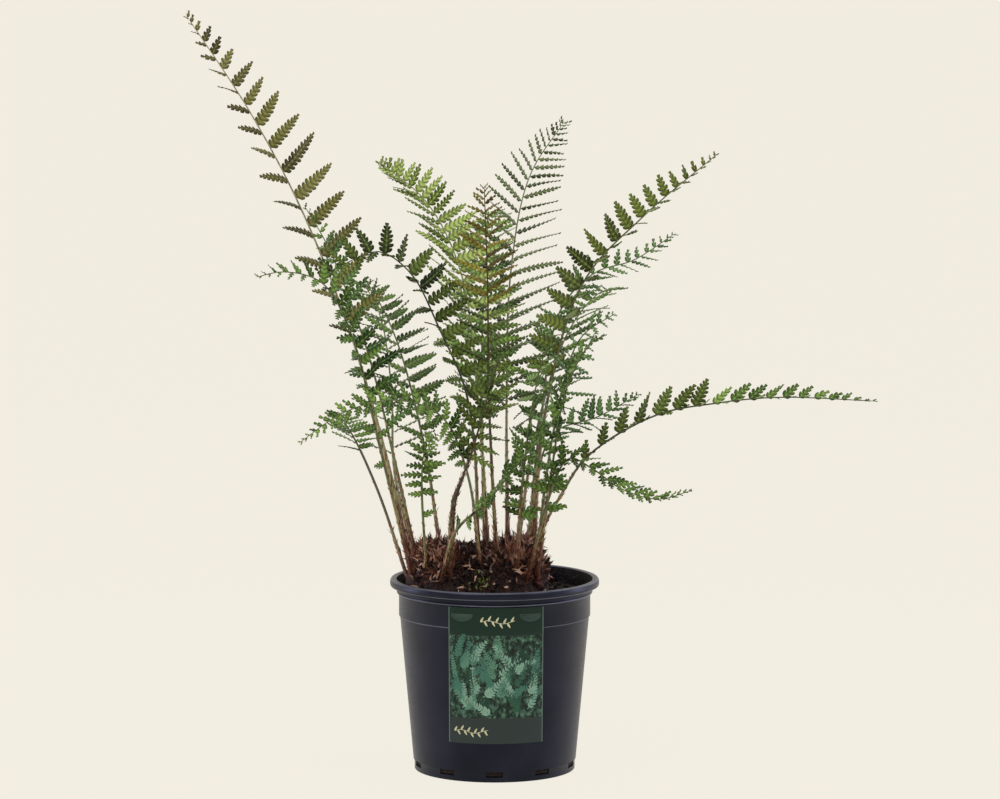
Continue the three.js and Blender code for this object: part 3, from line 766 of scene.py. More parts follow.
def growStubs(bm, rng):
    # Feet of old stipes, broken off at different heights
    for i in range(crown["stubs"]):
        angle, share = i * 2.4, math.sqrt(rng.uniform(0.02, 0.85))
        x, y = crownPoint(share * math.cos(angle), share * math.sin(angle))
        lean = Vector((math.cos(angle) * share + rng.uniform(-0.8, 0.8),
                       math.sin(angle) * share + rng.uniform(-0.8, 0.8), rng.uniform(0.9, 1.8)))
        length = rng.uniform(10, 17)
        radius = rng.uniform(1.6, 3)
        foot = Vector((x, y, soil["level"] + crownTop(x, y) - 9))
        middle = foot + lean.normalized() * length / 2
        turn = lean.to_track_quat("Z", "Y").to_matrix().to_4x4()
        bmesh.ops.create_cone(bm, cap_ends=True, segments=7, radius1=radius * mm, radius2=radius * 0.7 * mm,
                              depth=length * mm, matrix=Matrix.Translation(middle * mm) @ turn)


def growThatch(bm, rng, slip):
    feet = [Vector(frond["route"][0]) for frond in fronds.values()]
    wall = crown["wall"]
    for i in range(crown["slips"]):
        tuft = i % 3 == 0
        if tuft:
            # A third of the scales crowd round the feet of the stipes
            foot = rng.choice(feet)
            angle = rng.uniform(0, math.tau)
            x = foot.x + rng.uniform(1, 7) * math.cos(angle)
            y = foot.y + rng.uniform(1, 7) * math.sin(angle)
        else:
            angle = i * goldenAngle
            share = math.sqrt((i + 0.5) / crown["slips"]) * 1.02
            x, y = crownPoint(share * math.cos(angle), share * math.sin(angle))
            x += rng.uniform(-1.5, 1.5)
            y += rng.uniform(-1.5, 1.5)
        outward = 0.3 if tuft else 0.9 * min(1, crownShare(x, y))
        wild = 0.35 if tuft else 1.1
        if math.hypot(x, y) > wall:
            x, y = x * wall / math.hypot(x, y), y * wall / math.hypot(x, y)
            outward = 0
        along = Vector((math.cos(angle) * outward + rng.uniform(-wild, wild),
                        math.sin(angle) * outward + rng.uniform(-wild, wild), rng.uniform(0.2, 1.4)))
        if math.hypot(x, y) > wall - 7:
            along -= Vector((x, y, 0)) / wall * 0.8
        start = Vector((x, y, soil["level"] + crownTop(x, y) + rng.uniform(-3, 1.5)))
        length = rng.uniform(8, 15) if tuft else rng.uniform(5, 12)
        width = rng.uniform(1.3, 2.6) if tuft else rng.uniform(1.6, 4)
        normal = Vector((rng.uniform(-1, 1), rng.uniform(-1, 1), rng.uniform(-0.2, 1)))
        # Painted shade: nearly black in the dip and low at the front, rusty on the humps; a few pale dry
        # ones, partly painted highlight, more of them away from the dip
        side = min(1, abs(x - crown["dipPlace"]) / 34)
        high = min(1, crownTop(x, y) / 30)
        shade = 0.6 * side * high * rng.uniform(0, 1.1) + 0.1 * rng.random() + 0.14 * tuft
        if rng.random() < 0.08 + 0.12 * side:
            shade = rng.uniform(0.75, 1.3)
        bend = (rng.uniform(-0.9, 0.9), rng.uniform(-0.6, 0.6), rng.uniform(-0.4, 0.5),
                rng.uniform(-2.5, 2.5))
        placeTemplate(bm, slip, (length * mm, width * mm, 3 * mm), bend,
                      frameMatrix(start * mm, along, normal), shade)


def makeCrown(slip, scaleLook, mossLook):
    rng = random.Random(5)
    bm, _, _ = leafyMesh()
    bmesh.ops.create_icosphere(bm, subdivisions=5, radius=1)
    for v in bm.verts:
        x, y = crownPoint(v.co.x, v.co.y)
        rise = crownTop(x, y) if v.co.z > 0 else 0
        v.co = Vector((x, y, soil["level"] + rise - 3)) * mm
    growStubs(bm, rng)
    bmesh.ops.recalc_face_normals(bm, faces=bm.faces[:])
    core = len(bm.faces)
    growThatch(bm, rng, slip)
    for face in facesFrom(bm, core):
        face.material_index = 1
    # A cushion of moss low at the front
    mossy = len(bm.faces)
    for _ in range(crown["mossSlips"]):
        x, y = rng.gauss(-12, 5), -47 + rng.gauss(0, 2)
        start = Vector((x, y, soil["level"] + crownTop(x, y) + rng.uniform(-1, 2))) * mm
        along = Vector((rng.uniform(-0.8, 0.8), rng.uniform(-1.4, 0), rng.uniform(0.4, 1.4)))
        placeTemplate(bm, slip, (rng.uniform(2.5, 5) * mm, 1.6 * mm, mm), (rng.uniform(-0.3, 0.4), 0, 0, 0),
                      frameMatrix(start, along, Vector((rng.uniform(-1, 1), -1, 0.6))), rng.random())
    for face in facesFrom(bm, mossy):
        face.material_index = 2
    # Old rootstock: dark, woody and rough, in upright streaks 2 mm wide where scales have worn off
    bark = mottledMaterial("old fern rootstock", {"Roughness": 0.9}, {"Scale": 1, "Detail": 5},
                           [(0.38, crown["core"]), (0.7, crown["coreLight"])], bump=(0.8, 1.5),
                           stretch=(420, 420, 110))
    piece = finishPiece("crownThatch", bm, [bark, scaleLook, mossLook], "crown", smooth=True)
    piece.data.set_sharp_from_angle(angle=sharpAngle)
    print("crown grown")


# Fronds. Tones give the upper face from shade to light, the paler under face, the midrib and the rachis
tones = {
    "olive": ("#2b2a08", "#767438", "#a0a074", "#7c784a", "#94906a"),
    "blue": ("#2b3512", "#768452", "#a6b48e", "#84926a", "#7a7e58"),
    "sea": ("#23400f", "#6f9150", "#9ab88c", "#7c9e66", "#5f6e42"),
    "golden": ("#4e4204", "#9e9634", "#a8a862", "#6a4a10", "#4e3a18"),
    "light": ("#4c6216", "#a8bc66", "#c0d398", "#b0c070", "#8a965a"),
    "dark": ("#202b04", "#64752e", "#8ea068", "#6c7f3c", "#424426"),
    "yellow": ("#242e05", "#6e7c30", "#9aaa72", "#78863c", "#5f6234"),
    "fresh": ("#2a4409", "#82a048", "#a4c084", "#7fa05a", "#66753f"),
    "mid": ("#203506", "#6b8b3c", "#97b278", "#749048", "#5f6538"),
}

# Each frond: route in mm from foot to tip, the way its upper face looks, share of bare stipe, pairs of
# pinnae and how they close up towards the tip, longest pinna (reach) and its width in mm, fold of the
# two rows in degrees with the roll from one row to the other, share of finely cut pinnae (lace),
# unruliness (wild), stoutness and scaliness of the stipe, stray leaflets on it, and tone, with another
# one for its lower share or its stalk if that differs. For its left and its right row: share of the
# longest pinna (rows), how far the pinnae twist to face the sky (level), and their lean to the tip in
# degrees (sweep)
usualFrond = dict(close=1.25, roll=0, rows=(1, 1), level=(0.3, 0.3), sweep=(20, 20), wild=1, taper=0.7,
                  lace=0, droop=0.08, strays=0)
fronds = {
    "tall_left": dict(
        route=[(-73, 7, 168), (-98, 16, 280), (-132, 28, 398), (-177, 40, 510), (-223, 50, 596),
               (-282, 60, 685)],
        face=(0.4, -0.9, 0.2),
        bare=0.4, pairs=16, close=1.6, reach=52, width=15, fold=22, droop=0.16, wild=0.8, stout=1.3,
        rows=(0.68, 1), level=(0.5, 0.05), sweep=(34, 18), scaly=0.8, tone="olive"),
    "tall_centre": dict(
        route=[(12, 11, 168), (11, 30, 334), (15, 48, 452), (32, 62, 536), (65, 74, 587)],
        face=(0.1, -1, 0.1),
        bare=0.36, pairs=26, close=1.5, reach=58, width=11, fold=8, lace=1, wild=0.8, stout=1.2,
        rows=(0.9, 1), level=(0.6, 0.66), sweep=(24, 22), scaly=0.8, tone="blue"),
    "long_right": dict(
        route=[(30, -3, 168), (43, -5, 218), (59, -6, 249), (84, -10, 287), (145, -16, 325),
               (200, -23, 337), (254, -30, 343), (345, -44, 341)],
        face=(-0.1, -0.8, 0.6),
        bare=0.3, pairs=19, close=1.35, reach=30, width=15, fold=44, roll=-28, stout=0.9, scaly=0.8,
        rows=(1, 0.6), level=(0.05, 0.4), sweep=(40, 30), wild=1.3, lowShare=0.45, lowTone="dark",
        stalk="dark", tone="fresh"),
    "right_tall": dict(
        route=[(31, 4, 168), (48, 2, 337), (81, -4, 446), (134, -14, 505), (201, -26, 563)],
        face=(-0.45, -0.8, 0.4),
        bare=0.42, pairs=18, close=1.5, reach=36, width=15, fold=34, roll=-12, stout=1.5, scaly=1.3,
        rows=(1, 0.9), level=(0, 0.75), sweep=(2, 30), tone="yellow"),
    "left_arch": dict(
        route=[(-12, -5, 168), (-24, -22, 340), (-49, -38, 405), (-75, -60, 458), (-103, -76, 478),
               (-132, -88, 468), (-156, -94, 456)],
        face=(0.2, -0.7, 0.7),
        bare=0.36, pairs=16, close=1.25, reach=36, width=16, fold=30, lace=0.2, stout=1.1, scaly=0.8,
        rows=(0.8, 1), level=(0.7, 0.05), sweep=(30, -4), taper=0.3, tone="dark"),
    "golden_upright": dict(
        route=[(3, -16, 168), (-5, -48, 343), (-6, -80, 444), (-9, -120, 541)],
        face=(0, -1, 0.5),
        bare=0.4, pairs=22, close=1.4, reach=42, width=8.5, fold=10, lace=0.5, wild=1.3,
        level=(0.58, 0.58), sweep=(28, 28), lowShare=0.5, lowTone="dark", stout=1.1, scaly=1, taper=0.55,
        tone="golden"),
    "light_upright": dict(
        route=[(-4, 3, 168), (-15, 14, 336), (-30, 24, 449), (-60, 32, 512), (-106, 40, 552)],
        face=(0.1, -1, 0.2),
        bare=0.4, pairs=27, close=1.35, reach=48, width=12, fold=12, lace=0.3, lowShare=0.3, taper=0.55,
        rows=(1, 0.95), level=(0.62, 0.05), sweep=(54, -2), lowTone="fresh", stout=1, scaly=0.8,
        tone="light"),
    "lower_left": dict(
        route=[(-9, -26, 168), (-25, -66, 282), (-48, -100, 335), (-87, -122, 351), (-131, -136, 342),
               (-172, -146, 315)],
        face=(0.1, -0.75, 0.7),
        bare=0.38, pairs=22, close=1.3, reach=27, width=9, fold=20, lace=0.3, stout=0.8, scaly=0.5,
        rows=(1, 0.8), level=(0.5, 0.3), tone="fresh"),
    "left_second": dict(
        route=[(-66, -9, 168), (-89, -22, 280), (-113, -34, 382), (-147, -46, 477), (-170, -52, 519)],
        face=(0.3, -1, 0.1),
        bare=0.38, pairs=16, close=1.35, reach=38, width=12, fold=26, lace=0.4, wild=2.4, lowShare=0.8,
        rows=(0.8, 0.9), level=(0.6, 0.3), lowTone="sea", stout=1.2, scaly=1, tone="fresh"),
    "lower_right": dict(
        route=[(27, -30, 168), (45, -60, 245), (66, -80, 294), (86, -93, 287), (112, -103, 270),
               (144, -112, 262), (175, -118, 271)],
        face=(0, -0.6, 0.8),
        bare=0.4, pairs=18, close=1.3, reach=24, width=9, fold=26, lace=0.3, wild=1.3, stout=0.7, scaly=0.4,
        rows=(1, 0.8), level=(0.2, 0.6), sweep=(38, 30), tone="mid"),
    "right_behind": dict(
        route=[(27, 24, 168), (42, 46, 310), (60, 64, 412), (92, 78, 446), (128, 87, 457), (168, 96, 482)],
        face=(-0.2, -1, 0.5),
        bare=0.42, pairs=19, close=1.4, reach=34, width=9, fold=16, lace=0.8, wild=1.2, stout=0.9,
        rows=(0.8, 1), level=(0.2, 0.5), sweep=(12, 34), scaly=0.8, tone="sea"),
    "left_front": dict(
        route=[(-72, -14, 168), (-102, -48, 298), (-126, -92, 405), (-151, -128, 455), (-183, -148, 466),
               (-208, -160, 462)],
        face=(0.2, -0.7, 0.75),
        bare=0.46, pairs=15, close=1.3, reach=34, width=11, fold=20, lace=0.5, wild=1.5, stout=0.9,
        rows=(0.7, 1), level=(0.6, 0.4), scaly=0.7, strays=4, tone="mid"),
    "left_behind": dict(
        route=[(-70, 20, 168), (-92, 46, 267), (-95, 68, 340), (-106, 90, 406), (-123, 106, 437)],
        face=(0.2, -1, 0.2),
        bare=0.4, pairs=15, close=1.25, reach=56, width=8.5, fold=8, lace=1, wild=0.8, stout=0.9,
        rows=(0.7, 1), level=(0.8, 0.95), sweep=(20, 26), scaly=0.7, tone="blue"),
    "right_mid": dict(
        route=[(24, 14, 168), (38, 28, 259), (54, 42, 302), (95, 60, 315), (134, 74, 335)],
        face=(-0.1, -0.7, 0.8),
        bare=0.36, pairs=15, close=1.3, reach=34, width=9, fold=24, lace=0.8, wild=1.5, stout=0.8,
        level=(0.5, 0.6), scaly=0.6, tone="sea"),
    "right_small": dict(
        route=[(34, -13, 168), (55, -34, 323), (76, -56, 398), (108, -78, 424)],
        face=(-0.2, -0.9, 0.5),
        bare=0.46, pairs=13, close=1.3, reach=34, width=9, fold=12, lace=0.9, wild=1.6, stout=0.9,
        level=(0.8, 0.85), scaly=0.7, tone="sea"),
    "leftmost": dict(
        route=[(-77, -3, 168), (-100, 28, 233), (-122, 68, 279), (-138, 112, 301), (-149, 150, 309)],
        face=(0.3, -0.3, 1),
        bare=0.62, pairs=11, reach=28, width=9, fold=12, lace=0.5, stout=0.7, scaly=0.4,
        stalk="dark", tone="mid"),
    "young_front": dict(
        route=[(-60, -22, 168), (-64, -42, 229), (-65, -56, 272), (-62, -72, 300), (-50, -92, 318)],
        face=(0.1, -1, 0.4),
        bare=0.6, pairs=9, reach=22, width=9, fold=16, lace=0.3, wild=2, stout=0.55, scaly=0.3,
        level=(0.5, 0.4), strays=3, tone="fresh"),
    "scaly_front": dict(
        route=[(-40, -32, 168), (-38, -54, 243), (-20, -92, 301), (-4, -132, 362), (5, -170, 396)],
        face=(0.1, -0.7, 0.8),
        bare=0.5, pairs=14, close=1.3, reach=34, width=10, fold=14, lace=0.6, wild=2, stout=1.9,
        level=(0.5, 0.5), scaly=2.2, tone="dark"),
    "cross_front": dict(
        route=[(-50, -33, 168), (-37, -58, 224), (-8, -80, 254), (31, -116, 306), (57, -154, 341)],
        face=(-0.2, -0.6, 0.9),
        bare=0.42, pairs=14, close=1.3, reach=30, width=9, fold=14, lace=0.6, wild=2, stout=0.9,
        level=(0.5, 0.5), scaly=0.4, strays=6, tone="mid"),
    "right_front": dict(
        route=[(36, -24, 168), (51, -60, 281), (63, -106, 358), (82, -150, 402), (96, -185, 415)],
        face=(0, -0.6, 0.9),
        bare=0.37, pairs=14, close=1.2, reach=31, width=10.5, fold=14, lace=0.4, wild=2, stout=1.2,
        level=(0.5, 0.5), scaly=1, strays=8, tone="mid"),
    "centre_front": dict(
        route=[(18, -28, 168), (26, -70, 282), (35, -120, 355), (44, -168, 398), (50, -200, 407)],
        face=(0, -0.6, 0.9),
        bare=0.36, pairs=15, close=1.2, reach=31, width=10.5, fold=14, lace=0.4, wild=2, stout=1.2,
        level=(0.5, 0.5), scaly=1.2, strays=8, tone="mid"),
    "back_left": dict(
        route=[(-45, 30, 168), (-66, 80, 290), (-92, 140, 378), (-118, 200, 420), (-138, 245, 425)],
        face=(0.2, -0.3, 1),
        bare=0.36, pairs=18, close=1.35, reach=42, width=12, fold=12, lace=0.3, stout=1, scaly=0.8,
        tone="mid"),
    "back_centre": dict(
        route=[(-8, 34, 168), (-12, 84, 320), (-10, 140, 424), (-2, 205, 480), (6, 255, 492)],
        face=(0, -0.4, 1),
        bare=0.36, pairs=19, close=1.35, reach=44, width=12, fold=12, lace=0.3, stout=1.1, scaly=1,
        tone="fresh"),
    "back_right": dict(
        route=[(16, 33, 168), (38, 82, 296), (66, 138, 380), (98, 198, 416), (124, 238, 418)],
        face=(-0.2, -0.3, 1),
        bare=0.36, pairs=18, close=1.35, reach=42, width=12, fold=12, lace=0.3, stout=1, scaly=0.8,
        tone="mid"),
}

frondForm = {
    "socket": 52,         # mm of straight foot in the crown
    "bladeEnd": 0.992,
    "stipeRadius": 2.1,
    "rachisFoot": 1.15,
    "rachisTip": 0.4,
    "lobePitch": 4.3,     # mm of pinna to each pair of lobes
    "lobes": (2, 14),     # fewest and most pairs of lobes
    "thickness": 0.5,
    "slipsPerStipe": 110,
    "sides": 7,
}


def leafMaterial(name, shadeColour, lightColour, ribColour, roughness):
    # Fern blade: thin living leaf with a dull waxy skin, midrib paler, sunk lines between the lobes with
    # painted shade in them, and painted shade at the margins
    material = newMaterial(name, {"Roughness": roughness, "Specular IOR Level": 0.2})
    parts = addNode(material, "SeparateXYZ", {"Vector": addNode(material, "UVMap", uv_map="UVMap")})
    shade = addNode(material, "Attribute", attribute_name="shade").outputs["Fac"]
    place = addNode(material, "TexCoord").outputs["Object"]
    # Patches of 12 mm, so that no two pinnae have quite one green
    patches = addNode(material, "TexNoise", {"Vector": place, "Scale": 80, "Detail": 3})
    spread = addNode(material, "Math", {0: shade, 1: patches}, operation="ADD")
    half = addNode(material, "Math", {0: spread, 1: 0.5}, operation="MULTIPLY")
    green = addNode(material, "ValToRGB", {"Fac": half}, [(0.25, shadeColour), (0.72, lightColour)])
    # Distance from the midrib, 0 at it and 0.5 at the lobes' ends
    across = addNode(material, "Math", {0: parts.outputs["Y"], 1: 0.5}, operation="SUBTRACT")
    out = addNode(material, "Math", {0: across}, operation="ABSOLUTE")
    rib = addNode(material, "MapRange", {"Value": out, "From Min": 0.03, "From Max": 0.09,
                  "To Min": 0.7, "To Max": 0})
    ribbed = addNode(material, "Mix", {"Factor": rib, 6: green, 7: ribColour}, data_type="RGBA").outputs[2]
    # Painted shade in the creases between the lobes, paler along each lobe's vein, all leaning to the tip
    lean = addNode(material, "Math", {0: out, 1: -0.9, 2: parts.outputs["X"]}, operation="MULTIPLY_ADD")
    phase = addNode(material, "Math", {0: lean, 1: 0.5}, operation="PINGPONG")
    veinsAndCreaseShade = addNode(material, "MapRange", {"Value": phase, "From Min": 0.05, "From Max": 0.42,
                    "To Min": 0.5, "To Max": 1.25})
    # Painted shade at the margins, as though they curled under a little: darker towards the lobes' ends
    margin = addNode(material, "MapRange", {"Value": out, "From Min": 0.3, "From Max": 0.5,
                     "To Min": 1, "To Max": 0.55})
    colour = ribbed
    # Both factors scale the colour: painted shade in the creases and at the margins
    for light in (veinsAndCreaseShade, margin):
        colour = addNode(material, "VectorMath", {0: colour, "Scale": light}, operation="SCALE")
    bump = addNode(material, "Bump", {"Height": phase, "Strength": 0.6, "Distance": 0.8 * mm})
    setFinish(material, {"Base Color": colour, "Normal": bump})
    return material


def stipeMaterial(name, rachisColour):
    # Fern stalk: rusty and rough at the foot, straw-coloured above it, green and smooth in the blade
    material = newMaterial(name, {"Roughness": 0.55})
    shade = addNode(material, "Attribute", attribute_name="shade").outputs["Fac"]
    place = addNode(material, "TexCoord").outputs["Object"]
    # Streaks along the stalk, 1 mm wide and 20 mm long
    stretched = addNode(material, "Mapping", {"Vector": place, "Scale": (900, 900, 50)})
    streaks = addNode(material, "TexNoise", {"Vector": stretched, "Scale": 1, "Detail": 3})
    wander = addNode(material, "Math", {0: streaks, 1: 0.5}, operation="SUBTRACT")
    height = addNode(material, "Math", {0: wander, 1: 0.34, 2: shade}, operation="MULTIPLY_ADD")
    tone = addNode(material, "ValToRGB", {"Fac": height}, [
        (0.04, "#5c2418"), (0.13, "#6b4a2c"), (0.19, "#8c8150"), (0.3, rachisColour), (1, rachisColour)])
    dark = addNode(material, "MapRange", {"Value": streaks, "From Min": 0.36, "From Max": 0.5,
                   "To Min": 0.35, "To Max": 1.1})
    streaked = addNode(material, "VectorMath", {0: tone, "Scale": dark}, operation="SCALE")
    bump = addNode(material, "Bump", {"Height": streaks, "Strength": 0.5, "Distance": 0.4 * mm})
    setFinish(material, {"Base Color": streaked, "Normal": bump})
    return material


# Outline of one lobe, from one cut to the next: share of the way, reach from the midrib, rise
lobeOutlines = {
    "full": [(0, 0.42, 0), (0.07, 0.8, -1.4), (0.45, 1, -0.2), (0.84, 0.88, 1.4), (0.96, 0.44, 0.3)],
    "lacy": [(0, 0.26, 0), (0.1, 0.74, -2), (0.42, 1, -0.3), (0.76, 0.76, 2), (0.9, 0.28, 0.3)],
}


def pinnaTemplate(lobes, style):
    # A pinna 1 long and 1 wide: a strip of quads whose rim is drawn out into rounded, leaning lobes,
    # then one face left to each lobe, closed by its underside
    outline = lobeOutlines[style]
    parts = len(outline)
    bm, _, uvLayer = leafyMesh()
    columns = parts * lobes + 1
    found = bmesh.ops.create_grid(bm, x_segments=columns, y_segments=2, size=0.5)["verts"]
    stalk = 0.03
    cuts = [stalk + (1 - stalk) * (1 - (1 - k / lobes) ** 1.12) for k in range(lobes + 1)]
    uvs = {}
    spare = []
    for i, v in enumerate(found):
        column, row = i % (columns + 1), i // (columns + 1)
        x, width, reach, u, rise = (1, 0, 0, lobes, 0) if column else (0, 0.05, 0.05, 0, 0)
        if 0 < column < columns:
            lobe, part = divmod(column - 1, parts)
            share, reach, rise = outline[part]
            pitch = cuts[lobe + 1] - cuts[lobe]
            middle = (lobe + 0.5) / lobes
            envelope = (1 - middle ** 1.9) ** 0.7 * (0.84 + 0.16 * min(1, middle * 5))
            ragged = 1 + 0.09 * math.sin(2.4 * lobe + 3.1 * row) * (part > 0)
            lean = 0.42 * pitch * max(0, reach - outline[0][1]) if row != 1 else 0
            x = min(0.995, cuts[lobe] + share * pitch + lean)
            width = envelope * reach * ragged
            u = lobe + share
            if row == 1 and part:
                spare.append(v)
        uvs[v] = (u, 0.5 + (row - 1) * 0.5 * reach)
        v.co = (x, (row - 1) * width / 2, 0.5 if row == 1 and 0 < column < columns else rise * abs(row - 1))
    for face in bm.faces:
        for loop in face.loops:
            loop[uvLayer].uv = uvs[loop.vert]
    inner = {e for v in spare for e in v.link_edges if abs(e.other_vert(v).co.y) > 1e-4}
    bmesh.ops.dissolve_edges(bm, edges=[e for e in bm.edges if e in inner], use_verts=False)
    bmesh.ops.dissolve_verts(bm, verts=spare)
    tips = [v for v in bm.verts if v.co.x > 0.9999]
    bmesh.ops.remove_doubles(bm, verts=tips, dist=weldDistance)
    # Its underside: the same shape with the midrib pressed the other way
    grown = bmesh.ops.duplicate(bm, geom=bm.verts[:] + bm.edges[:] + bm.faces[:])["geom"]
    under = [g for g in grown if isinstance(g, bmesh.types.BMFace)]
    for v in vertsIn(grown):
        if v.co.z > 0.3:
            v.co.z = -0.5
    for face in under:
        face.material_index = 1
    bmesh.ops.reverse_faces(bm, faces=under)
    bmesh.ops.remove_doubles(bm, verts=bm.verts[:], dist=weldDistance)
    bmesh.ops.recalc_face_normals(bm, faces=bm.faces[:])
    for edge in bm.edges:
        edge.smooth = len({f.material_index for f in edge.link_faces}) == 1
    return templateMesh(f"pinna{style}{lobes}", bm)


def routeSamples(route):
    # Points along a centripetal curve through the route, with their distance from the foot, in mm
    points = [Vector(p) for p in route]
    ends = [2 * points[0] - points[1]] + points + [2 * points[-1] - points[-2]]
    line = []
    for i in range(len(points) - 1):
        a, b, c, d = ends[i:i + 4]
        spans = [max(1e-4, math.sqrt((q - p).length)) for p, q in ((a, b), (b, c), (c, d))]
        tangentB = ((b - a) / spans[0] - (c - a) / (spans[0] + spans[1]) + (c - b) / spans[1]) * spans[1]
        tangentC = ((c - b) / spans[1] - (d - b) / (spans[1] + spans[2]) + (d - c) / spans[2]) * spans[1]
        for k in range(60 if i < len(points) - 2 else 61):
            t = k / 60
            line.append((2 * t ** 3 - 3 * t ** 2 + 1) * b + (t ** 3 - 2 * t ** 2 + t) * tangentB
                        + (3 * t ** 2 - 2 * t ** 3) * c + (t ** 3 - t ** 2) * tangentC)
    far = [0.0]
    for p, q in zip(line, line[1:]):
        far.append(far[-1] + (q - p).length)
    return np.array(line), np.array(far)


def frondCurve(frond):
    # Returns the length and a function of the share along it: centre, along, up, side
    line, far = routeSamples(frond["route"])
    length = far[-1]
    face = Vector(frond["face"])

    def pointAt(distance):
        return Vector([np.interp(distance, far, line[:, k]) for k in range(3)])

    foot = pointAt(0)
    footAlong = (pointAt(1.5) - foot).normalized()
    gap = foot + footAlong * frondForm["socket"] - pointAt(frondForm["socket"])

    def at(share):
        distance = share * length
        along = (pointAt(min(length, distance + 1.5)) - pointAt(max(0, distance - 1.5))).normalized()
        if distance < frondForm["socket"]:
            centre = foot + footAlong * distance
            along = footAlong
        else:
            fade = max(0, 1 - (distance - frondForm["socket"]) / 45)
            centre = pointAt(distance) + gap * fade * fade * (3 - 2 * fade)
        up = (face - face.dot(along) * along).normalized()
        return centre, along, up, along.cross(up)

    return length, at


def pinnaSize(share, taper):
    foot = 0.66 + 0.34 * min(1, share / 0.2)
    return foot * max(0.14, (1 - share ** 2.2) ** taper)


def growTube(bm, shadeLayer, sections):
    # A round stalk through sections of (centre, along, up, side, radius, share), closed at both ends
    count = frondForm["sides"]
    order = None
    for centre, along, up, side, radius, share in sections:
        if order is None:
            order = bmesh.ops.create_circle(bm, cap_ends=True, radius=1, segments=count)["verts"]
            ring = bm.edges[:]
        else:
            # Each vertex follows the one that it grew from
            verts, ring = growRow(bm, ring)
            order = [next(e.other_vert(v) for e in v.link_edges if e.other_vert(v) in verts) for v in order]
        for k, v in enumerate(order):
            x, y = polar(radius, math.tau * k / count)
            v.co = (centre + side * x + up * y) * mm
            v[shadeLayer] = share
    bmesh.ops.pointmerge(bm, verts=order, merge_co=sections[-1][0] * mm)


def growStalk(bm, shadeLayer, frond, length, at):
    # Stipe up to the first pinna, and the thinner rachis from there to the tip
    form, bare = frondForm, frond["bare"]
    sections = []
    for i in range(15):
        share = bare * i / 14
        part = share / bare
        radius = frond["stout"] * form["stipeRadius"] * (1 - part) + form["rachisFoot"] * part
        radius *= 1 + 0.35 * max(0, 1 - share * length / 70)
        sections.append((*at(share), radius, share))
    for i in range(1, 31):
        part = i / 30
        share = bare + (0.999 - bare) * part
        radius = form["rachisFoot"] * (1 - part) + form["rachisTip"] * part
        sections.append((*at(share), radius * (0.5 + 0.5 * min(1, frond["reach"] / 36)), share))
    growTube(bm, shadeLayer, sections)
    bmesh.ops.recalc_face_normals(bm, faces=bm.faces[:])
    for face in bm.faces:
        face.material_index = 2
        face.smooth = True


def growPinnae(bm, rng, frond, length, at, templates):
    # Two rows folded up towards each other, which close up towards the tip
    form = frondForm
    bare, pairs, close, wild = frond["bare"], frond["pairs"], frond["close"], frond["wild"]
    blade = length * (form["bladeEnd"] - bare)
    for i in range(pairs):
        for row, hand in enumerate((-1, 1)):
            left = 1 - (i + 0.5 + 0.18 * hand) / pairs
            share = 1 - left ** close
            space = blade * close / pairs * left ** (close - 1)
            size = pinnaSize(share, frond["taper"])
            reach = frond["reach"] * frond["rows"][row] * size * rng.uniform(1 - 0.12 * wild, 1.08)
            width = frond["width"] * size ** 0.4 * rng.uniform(0.85, 1.1)
            width = min(width, 1.25 * space, 0.5 * reach)
            centre, along, up, side = at(bare + (form["bladeEnd"] - bare) * share)
            lift = math.radians(frond["fold"] - hand * frond["roll"] + rng.uniform(-10, 10) * wild)
            sweep = math.radians(frond["sweep"][row] + rng.uniform(-6, 6) * wild + 22 * share ** 3)
            out = side * (hand * math.cos(lift)) + up * math.sin(lift)
            pinnaAlong = out * math.cos(sweep) + along * math.sin(sweep)
            normal = up * math.cos(lift) - side * (hand * math.sin(lift))
            normal += pinnaAlong.cross(normal) * rng.uniform(-0.35, 0.35) * wild
            # Pinnae twist on their stalks until they face the sky
            level = frond["level"][row]
            sky = (Vector((0, 0, 1)) - pinnaAlong * pinnaAlong.z).normalized()
            normal = normal.normalized() * (1 - level) + sky * level
            fewest, most = form["lobes"]
            lobes = max(fewest, min(most, round(reach / form["lobePitch"])))
            style = "lacy" if rng.random() < frond["lace"] else "full"
            droop = frond["droop"] + rng.uniform(-0.06, 0.08) * wild
            bend = (droop, hand * rng.uniform(-0.02, 0.12), rng.uniform(-0.05, 0.1),
                    rng.uniform(-0.7, 0.7) * wild)
            before = len(bm.faces)
            placeTemplate(bm, templates[style, lobes], (reach * mm, width * mm, form["thickness"] * mm),
                          bend, frameMatrix(centre * mm, pinnaAlong, normal), rng.random())
            if "lowTone" in frond and share < frond["lowShare"] + rng.uniform(-0.06, 0.06):
                for face in facesFrom(bm, before):
                    face.material_index += 4


def growStrays(bm, rng, frond, at, template):
    # Stray leaflets low on the stipe
    for _ in range(frond["strays"]):
        centre, along, up, side = at(frond["bare"] * rng.uniform(0.66, 0.97))
        outward = side * rng.choice((-1, 1)) + up * rng.uniform(-0.2, 0.6)
        outward += along * rng.uniform(0, 0.6)
        normal = up + side * rng.uniform(-0.5, 0.5)
        reach = rng.uniform(12, 20)
        placeTemplate(bm, template, (reach * mm, 0.55 * reach * mm, frondForm["thickness"] * mm),
                      (rng.uniform(0, 0.4), 0, rng.uniform(0, 0.2), rng.uniform(-0.8, 0.8)),
                      frameMatrix(centre * mm, outward, normal), rng.random())


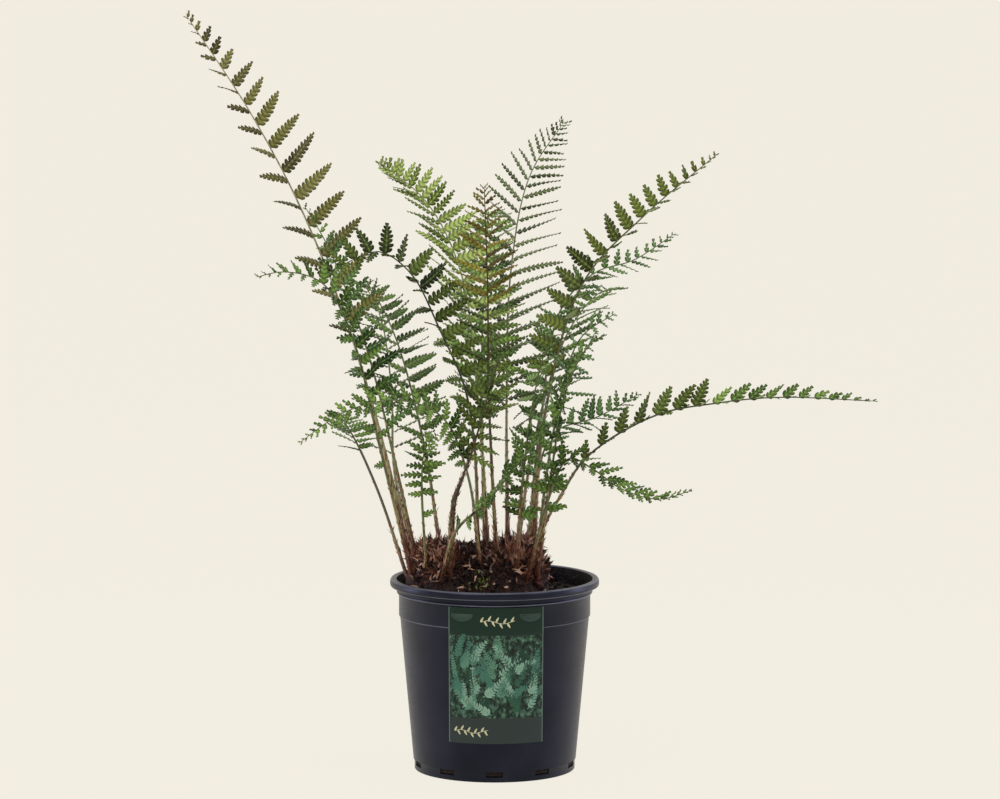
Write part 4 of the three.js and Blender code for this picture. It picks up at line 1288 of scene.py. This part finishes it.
def growScales(bm, rng, frond, length, at, slip):
    # Scales on the stalk, thick at its foot and fewer above
    count = int(frondForm["slipsPerStipe"] * frond["scaly"])
    first = 28 / length
    before = len(bm.faces)
    for k in range(count):
        far = (k / count) ** 2.4
        centre, along, up, side = at(first + far * (frond["bare"] - first) * 1.3)
        turn = k * 2.4 + rng.uniform(-0.4, 0.4)
        outward = side * math.cos(turn) + up * math.sin(turn)
        radius = frond["stout"] * frondForm["stipeRadius"] * (1 - 0.5 * far)
        direction = along * 1.4 + outward * rng.uniform(0.05, 0.45 - 0.25 * far)
        direction += side * rng.uniform(-0.2, 0.2)
        size = rng.uniform(4, 10) * (1 - 0.65 * far)
        placeTemplate(bm, slip, (size * mm, rng.uniform(1, 1.9) * mm, 2 * mm),
                      (rng.uniform(-0.3, 0.3), 0, 0.2, rng.uniform(-1, 1)),
                      frameMatrix((centre + outward * radius * 0.8) * mm, direction, outward),
                      0.3 + 0.55 * rng.random())
    for face in facesFrom(bm, before):
        face.material_index = 3


def makeFronds(slip, scaleLook):
    fewest, most = frondForm["lobes"]
    templates = {(style, count): pinnaTemplate(count, style)
                 for style in lobeOutlines for count in range(fewest, most + 1)}
    leaves, stalks = {}, {}
    for tone, (shadeColour, lightColour, underColour, ribColour, rachisColour) in tones.items():
        leaves[tone] = [leafMaterial(f"living fern leaf {tone}", shadeColour, lightColour, ribColour, 0.5),
                        leafMaterial(f"leaf underside {tone}", lightColour, underColour, ribColour, 0.62)]
        stalks[tone] = stipeMaterial(f"fern stalk {tone}", rachisColour)
    for number, (name, own) in enumerate(fronds.items()):
        frond = {**usualFrond, **own}
        rng = random.Random(100 + number)
        length, at = frondCurve(frond)
        bm, shadeLayer, _ = leafyMesh()
        growStalk(bm, shadeLayer, frond, length, at)
        growPinnae(bm, rng, frond, length, at, templates)
        growStrays(bm, rng, frond, at, templates["full", 4])
        growScales(bm, rng, frond, length, at, slip)
        looks = leaves[frond["tone"]] + [stalks[frond.get("stalk", frond["tone"])], scaleLook]
        if "lowTone" in frond:
            looks += leaves[frond["lowTone"]]
        finishPiece("leafyFrond_" + name, bm, looks, "frond_" + name)
    print("fronds grown")


makeStage()
makePot()
sheet, edge, inks = labelMaterials()
makeSheet(sheet, edge)
makeMotifs(inks)
makeTabs(edge)
print("label printed")
scaleLook = scaleMaterial()
slip = scaleTemplate()
mossLook = mossMaterial()
makeSoil(slip, scaleLook, mossLook)
makeCrown(slip, scaleLook, mossLook)
makeFronds(slip, scaleLook)

total = 0
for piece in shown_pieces():
    piece.data.calc_loop_triangles()
    total += len(piece.data.loop_triangles)
    print(piece.name, len(piece.data.loop_triangles))
print("triangles", total)
